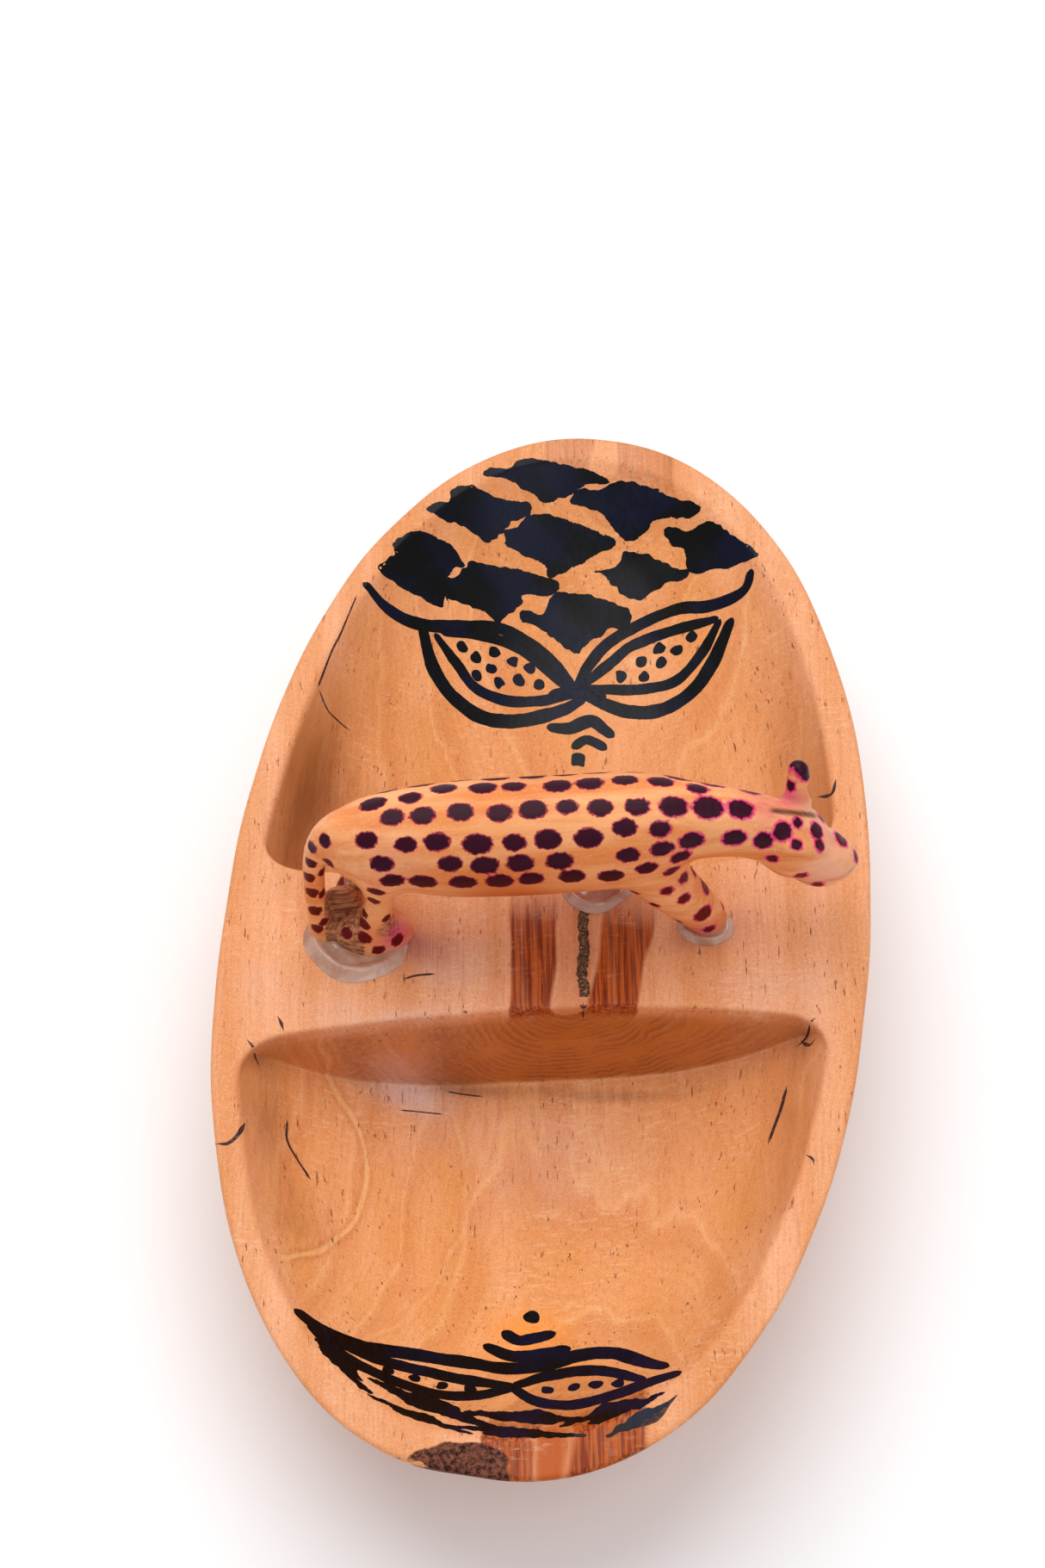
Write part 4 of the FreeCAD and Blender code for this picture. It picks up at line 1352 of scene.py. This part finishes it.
def ink_look():
    """Thick black marker ink, with a painted blue sheen in cloudy patches."""
    look = Look("marker_ink")
    grain = look.millimetres(-GRAIN_TURN, (0, 0, 0), (1.0, 0.1, 1.0))
    even = look.millimetres()
    brush = look.noise(grain, 0.7, 4.0, 0.65)
    cloud = look.noise(even, 0.045, 3.0)
    # Painted blue sheen: cloudy patches of blue in the black.
    colour = look.mix(look.span(cloud, 0.42, 0.62), srgb(1, 1, 2), srgb(4, 8, 34))
    colour = look.mix(look.span(brush, 0.62, 0.80, 0.0, 0.5), colour, srgb(40, 22, 30))
    rough = look.span(brush, 0.3, 0.7, 0.24, 0.40)
    return look.set(Base_Color=colour, Roughness=rough, Normal=look.bump(brush, 0.3, 0.0001),
                    Specular_IOR_Level=0.14, Coat_Weight=0.03, Coat_Roughness=0.2)


def crack_look():
    """The near-black inside of a hairline crack."""
    look = Look("crack_shadow")
    even = look.millimetres()
    colour = look.mix(look.span(look.noise(even, 1.2, 3.0), 0.4, 0.7), srgb(40, 16, 18),
                      srgb(98, 48, 40))
    rough = look.span(look.noise(even, 0.8, 2.0), 0.3, 0.7, 0.6, 0.85)
    return look.set(Base_Color=colour, Roughness=rough,
                    Normal=look.bump(look.noise(even, 2.0, 3.0), 0.4, 0.0002))


def filler_look():
    """Dark sawdust stopping with pale grains."""
    look = Look("stopping_look")
    even = look.millimetres()
    grains = look.noise(even, 1.7, 3.0, 0.75)
    colour = look.ramp(look.span(grains, 0.30, 0.72), [(0.0, srgb(34, 18, 12)),
                                                       (0.45, srgb(84, 50, 30)),
                                                       (0.75, srgb(138, 94, 52)),
                                                       (1.0, srgb(196, 156, 104))])
    rough = look.span(grains, 0.3, 0.7, 0.6, 0.85)
    return look.set(Base_Color=colour, Roughness=rough, Normal=look.bump(grains, 0.8, 0.0006))


def glue_look():
    """Milky set glue that picks up dust and a magenta stain."""
    look = Look("glue_look")
    even = look.millimetres()
    cloud = look.noise(even, 0.14, 4.0, 0.6)
    dust = look.noise(even, 1.0, 3.0, 0.7)
    colour = look.mix(look.span(cloud, 0.38, 0.66), srgb(196, 156, 134), srgb(170, 112, 80))
    colour = look.mix(look.span(dust, 0.66, 0.80, 0.0, 0.35), colour, srgb(130, 84, 70))
    rough = look.span(cloud, 0.3, 0.7, 0.10, 0.24)
    return look.set(Base_Color=colour, Roughness=rough, Normal=look.bump(cloud, 0.12, 0.0006),
                    Coat_Weight=0.6, Coat_Roughness=0.08, Subsurface_Weight=0.15,
                    Subsurface_Radius=(0.002, 0.0016, 0.0012))


# ---------------------------------------------------------------------------- leopard's spots
# Rows of body spots: angle from the top towards the near side, first place, pitch and count.
SPOT_ROWS = [(-20, -41.5, 8.6, 10), (9, -37.5, 8.3, 11), (36, -43.0, 8.6, 11), (60, -40.5, 8.3, 12),
             (84, -38.5, 8.7, 9), (-46, -38.0, 8.6, 11), (-72, -42.0, 8.5, 12), (-98, -36.0, 8.7, 9)]
# Spots set one by one: along, side, up, half length, half width.
LEG_SPOTS = [(29, -10, 33, 2.3, 1.5), (32, -8, 27, 2.0, 1.4), (37, -5, 17, 2.6, 2.0),
             (28, -11, 26, 1.8, 1.3), (32, -10, 21, 2.0, 1.4), (37, -9, 12, 2.8, 2.1),
             (41, -4, 6, 1.8, 1.2), (25, -11, 19, 1.6, 1.0), (31, -9, 9, 1.8, 1.1),
             (39, -8, 4, 1.9, 1.2), (20, -10, 24, 1.6, 1.0), (36, -4, 24, 1.7, 1.1),
             (-42, -11, 31, 2.2, 1.5), (-43, -11, 25, 1.9, 1.3), (-45, -8, 12, 2.0, 1.5),
             (-49.5, -7, 6, 1.8, 1.3), (-45, -9, 7.5, 2.1, 1.5), (-42, -11, 3.5, 1.9, 1.3),
             (-37, -9, 4.5, 1.8, 1.7), (-40, -8, 15, 1.4, 1.0), (-47, -8, 16, 1.5, 1.0)]
TAIL_SPOTS = [(-53, -2, 41, 1.9, 1.4), (-56, -1, 37, 1.8, 1.3), (-57, -2, 31.5, 1.8, 1.2),
              (-58, -3, 26, 1.9, 1.2), (-57.5, -4, 20.5, 2.2, 1.1), (-57, -5, 13.5, 2.2, 1.2),
              (-57, -6, 6.5, 2.0, 1.1), (-53, -5, 35, 1.7, 1.3), (-54.5, -2, 27, 1.5, 1.0),
              (-55, -3, 19, 1.6, 0.9), (-54.5, -6, 9, 1.5, 0.9)]
FACE_SPOTS = [(55.4, -4.2, 39.8, 2.5, 2.1), (60.2, -2.4, 41, 1.4, 1.1), (64.5, -2.2, 36.3, 2.3, 1.9),
              (58.7, -6.6, 37.0, 1.6, 1.0), (64.2, -5.2, 33.9, 1.9, 1.3), (70.5, 0, 28, 2.3, 2.1),
              (74.5, -1.5, 22.5, 2.0, 1.4), (60.5, -9, 25.5, 2.4, 1.0), (65, -7, 19.5, 2.0, 0.9),
              (53, -8.5, 33, 1.6, 1.2), (67, 3.5, 34, 1.6, 1.2), (62, 8.5, 37, 2.0, 1.5),
              (66, 6.0, 27, 1.9, 1.2), (61.2, 9.6, 46.2, 4.2, 4.0), (58.3, 6.2, 43.5, 1.5, 1.3)]
SPOT_LEAN = 0.72         # a body spot is this much narrower than it is long


def spine_at(along):
    """Centre of the body at a place along it."""
    spine = np.array(SPINE)
    return np.array([along, np.interp(along, spine[:, 0], spine[:, 1]),
                     np.interp(along, spine[:, 0], spine[:, 2])])


def leopard_spots(tree):
    """Every spot as (centre on the skin, half length, half width)."""
    draw = np.random.default_rng(12)
    spots = []
    for angle, start, pitch, count in SPOT_ROWS:
        for n in range(count):
            along = start + n * pitch + draw.normal() * 0.5
            turn = math.radians(angle + draw.normal() * 3.0)
            centre = spine_at(along)
            way = Vector((0.0, -math.sin(turn), math.cos(turn)))
            place = tree.ray_cast(Vector(centre.tolist()) + way * 30, -way)[0]
            if place is not None:
                swell = 1 + 0.10 * draw.normal()
                gaps = [place - other[0] for other in spots]
                if all(math.hypot(SPOT_LEAN * gap.x, gap.y, gap.z) > 5.0 for gap in gaps):
                    spots.append((place, 2.8 * swell, 2.2 * swell))
    for along, side, up, length, width in LEG_SPOTS + TAIL_SPOTS + FACE_SPOTS:
        # A spot on a near leg has a twin on the far one.
        on_leg = side < -3 and up < 38 and -52 < along < 50
        for flank in (1, -1) if on_leg else (1,):
            place = tree.find_nearest(Vector((along, side * flank, up)))[0]
            spots.append((place, length, width))
    return spots


def mark_leopard(piece, points):
    """The leopard's vertex values: distance to the nearest spot, the dyed and worn places, and
    painted shade in the face's creases.
    """
    flat = [tuple(p) for p in points.tolist()]
    tree = BVHTree.FromPolygons(flat, [tuple(p.vertices) for p in piece.data.polygons])
    nearest = np.full(len(points), 9.0)
    for place, length, width in leopard_spots(tree):
        gap = points - np.array(place)
        near = np.abs(gap).max(axis=1) < 8
        lean = SPOT_LEAN if abs(place[0]) < 47 and place[2] > 26 else 1.0
        span = np.sqrt((gap[near, 0] * lean) ** 2 + gap[near, 1] ** 2 + gap[near, 2] ** 2)
        size = width if lean < 1 else (length + width) / 2
        nearest[near] = np.minimum(nearest[near], span - size)
    add_value(piece, "spot", nearest)
    x, y, z = points.T

    def blob(along, side, up, reach, strength=1.0):
        squared = (x - along) ** 2 + (y - side) ** 2 + (z - up) ** 2
        return strength * np.exp(-squared / reach ** 2)

    add_value(piece, "belly", blob(-12, -9, 27, 13) + blob(-6, 9, 27, 13, 0.8))
    add_value(piece, "pale", blob(66, -8, 24, 7, 0.8) + blob(66, 6, 24, 7, 0.8)
              + blob(66, 0, 36, 6, 0.6) + blob(-38, -8, 40, 8, 0.3))
    web = smooth_step(-56, -53.5, x) * smooth_step(-44, -47, x) * smooth_step(18, 15, z)
    add_value(piece, "rub", np.clip(web + blob(51.5, -6, 33, 3.2, 0.5)
                                   + blob(-37.5, -9.5, 10.5, 5.0, 1.0), 0, 1))
    add_value(piece, "pink", np.clip(blob(58.4, 5.0, 40, 3.2, 0.8) + blob(-37, -8, 5, 5.0, 0.7)
              + blob(52, 0, 44, 5, 0.35) + blob(36, -8, 2, 5, 0.4) + blob(71, 0, 31, 3.0, 0.4)
              + blob(12, 6, 3, 7, 0.8), 0, 1))
    # Painted shade for the creases of the mouth, the brow and the far ear's root.
    mouth = np.abs(z - (20.5 + 0.10 * (x - 62)) + 0.5 * np.cos(x * 0.8))
    lips = smooth_step(1.1, 0.3, mouth) * smooth_step(55, 58, x) * smooth_step(75, 73, x)
    ear_root = blob(57.5, 4.0, 37.5, 2.2, 0.8)
    brow = smooth_step(1.0, 0.3, np.abs(0.55 * z + 0.84 * y - 23.4 + 0.16 * (x - 53.2)))
    brow *= smooth_step(52, 54, x) * smooth_step(65.5, 63.5, x) * smooth_step(32, 34, z)
    add_value(piece, "crease", np.clip(0.25 * lips + ear_root + 0.85 * brow, 0, 1))


# ---------------------------------------------------------------------------- stage
def build_stage():
    """Pale floor, soft lights and an even sky."""
    paper = Look("floor_paper")
    tone = paper.noise(paper.millimetres(), 0.01, 2.0)
    paper.set(Base_Color=paper.mix(tone, srgb(246, 246, 247), srgb(250, 250, 250)), Roughness=0.9)
    mesh = bpy.data.meshes.new("floor")
    mesh.from_pydata([(-3, -3, 0), (3, -3, 0), (3, 3, 0), (-3, 3, 0)], [], [(0, 1, 2, 3)])
    mesh.materials.append(paper.material)
    floor = bpy.data.objects.new("floor", mesh)
    bpy.context.scene.collection.objects.link(floor)
    world = bpy.data.worlds.new("studio")
    world.use_nodes = True
    sky = world.node_tree.nodes["Background"]
    sky.inputs[0].default_value = (0.94, 0.96, 1.0, 1)
    sky.inputs[1].default_value = 0.62
    bpy.context.scene.world = world
    for name, place, size, power, tint in LAMPS:
        light = bpy.data.lights.new(name, "AREA")
        light.shape, light.size, light.energy, light.color = "DISK", size, power, tint
        lamp = bpy.data.objects.new(name, light)
        lamp.location = place
        aim = Vector((0, 0, RIM * MM)) - Vector(place)
        lamp.rotation_euler = aim.to_track_quat("-Z", "Y").to_euler()
        bpy.context.scene.collection.objects.link(lamp)


LAMPS = [("window", (-0.20, 0.42, 1.15), 1.3, 10.5, (1.0, 0.99, 0.97)),
         ("fill", (0.5, -0.5, 1.0), 0.9, 2.2, (0.95, 0.97, 1.0))]
CAMERA_ELEVATION = math.radians(57.0)
CAMERA_AZIMUTH = math.radians(5.54)
CAMERA_DISTANCE = 0.9355
CAMERA_TARGET = Vector((-0.0098, 0.03706, RIM * MM))


def build_camera():
    """The photograph's view: from the near end, well above the rim, through a long lens."""
    lens = bpy.data.cameras.new("camera")
    lens.lens, lens.sensor_width = 85.0, 36.0
    lens.clip_start = 0.01
    camera = bpy.data.objects.new("camera", lens)
    flat = math.cos(CAMERA_ELEVATION)
    look = Vector((-math.sin(CAMERA_AZIMUTH) * flat, math.cos(CAMERA_AZIMUTH) * flat,
                   -math.sin(CAMERA_ELEVATION)))
    camera.location = CAMERA_TARGET - CAMERA_DISTANCE * look
    camera.rotation_euler = look.to_track_quat("-Z", "Y").to_euler()
    bpy.context.scene.collection.objects.link(camera)
    bpy.context.scene.camera = camera


# ---------------------------------------------------------------------------- build
bowl = build_bowl(bowl_wood())
mark_bowl(bowl)
drop = height_finder(bowl)
build_ink(ink_look(), drop)
build_cracks(crack_look(), drop)
build_filler(filler_look())
figure, figure_points = build_leopard(leopard_wood())
mark_leopard(figure, figure_points)
glue_material = glue_look()
build_glue("glue_hind", "hind_glue", glue_material, 5, 0.72)
build_glue("glue_front_far", "far_fore_glue", glue_material, 6, 0.5)
build_glue("glue_front_near", "near_fore_glue", glue_material, 7, 0.4)
build_stage()
build_camera()
bpy.context.scene.view_settings.view_transform = "Standard"
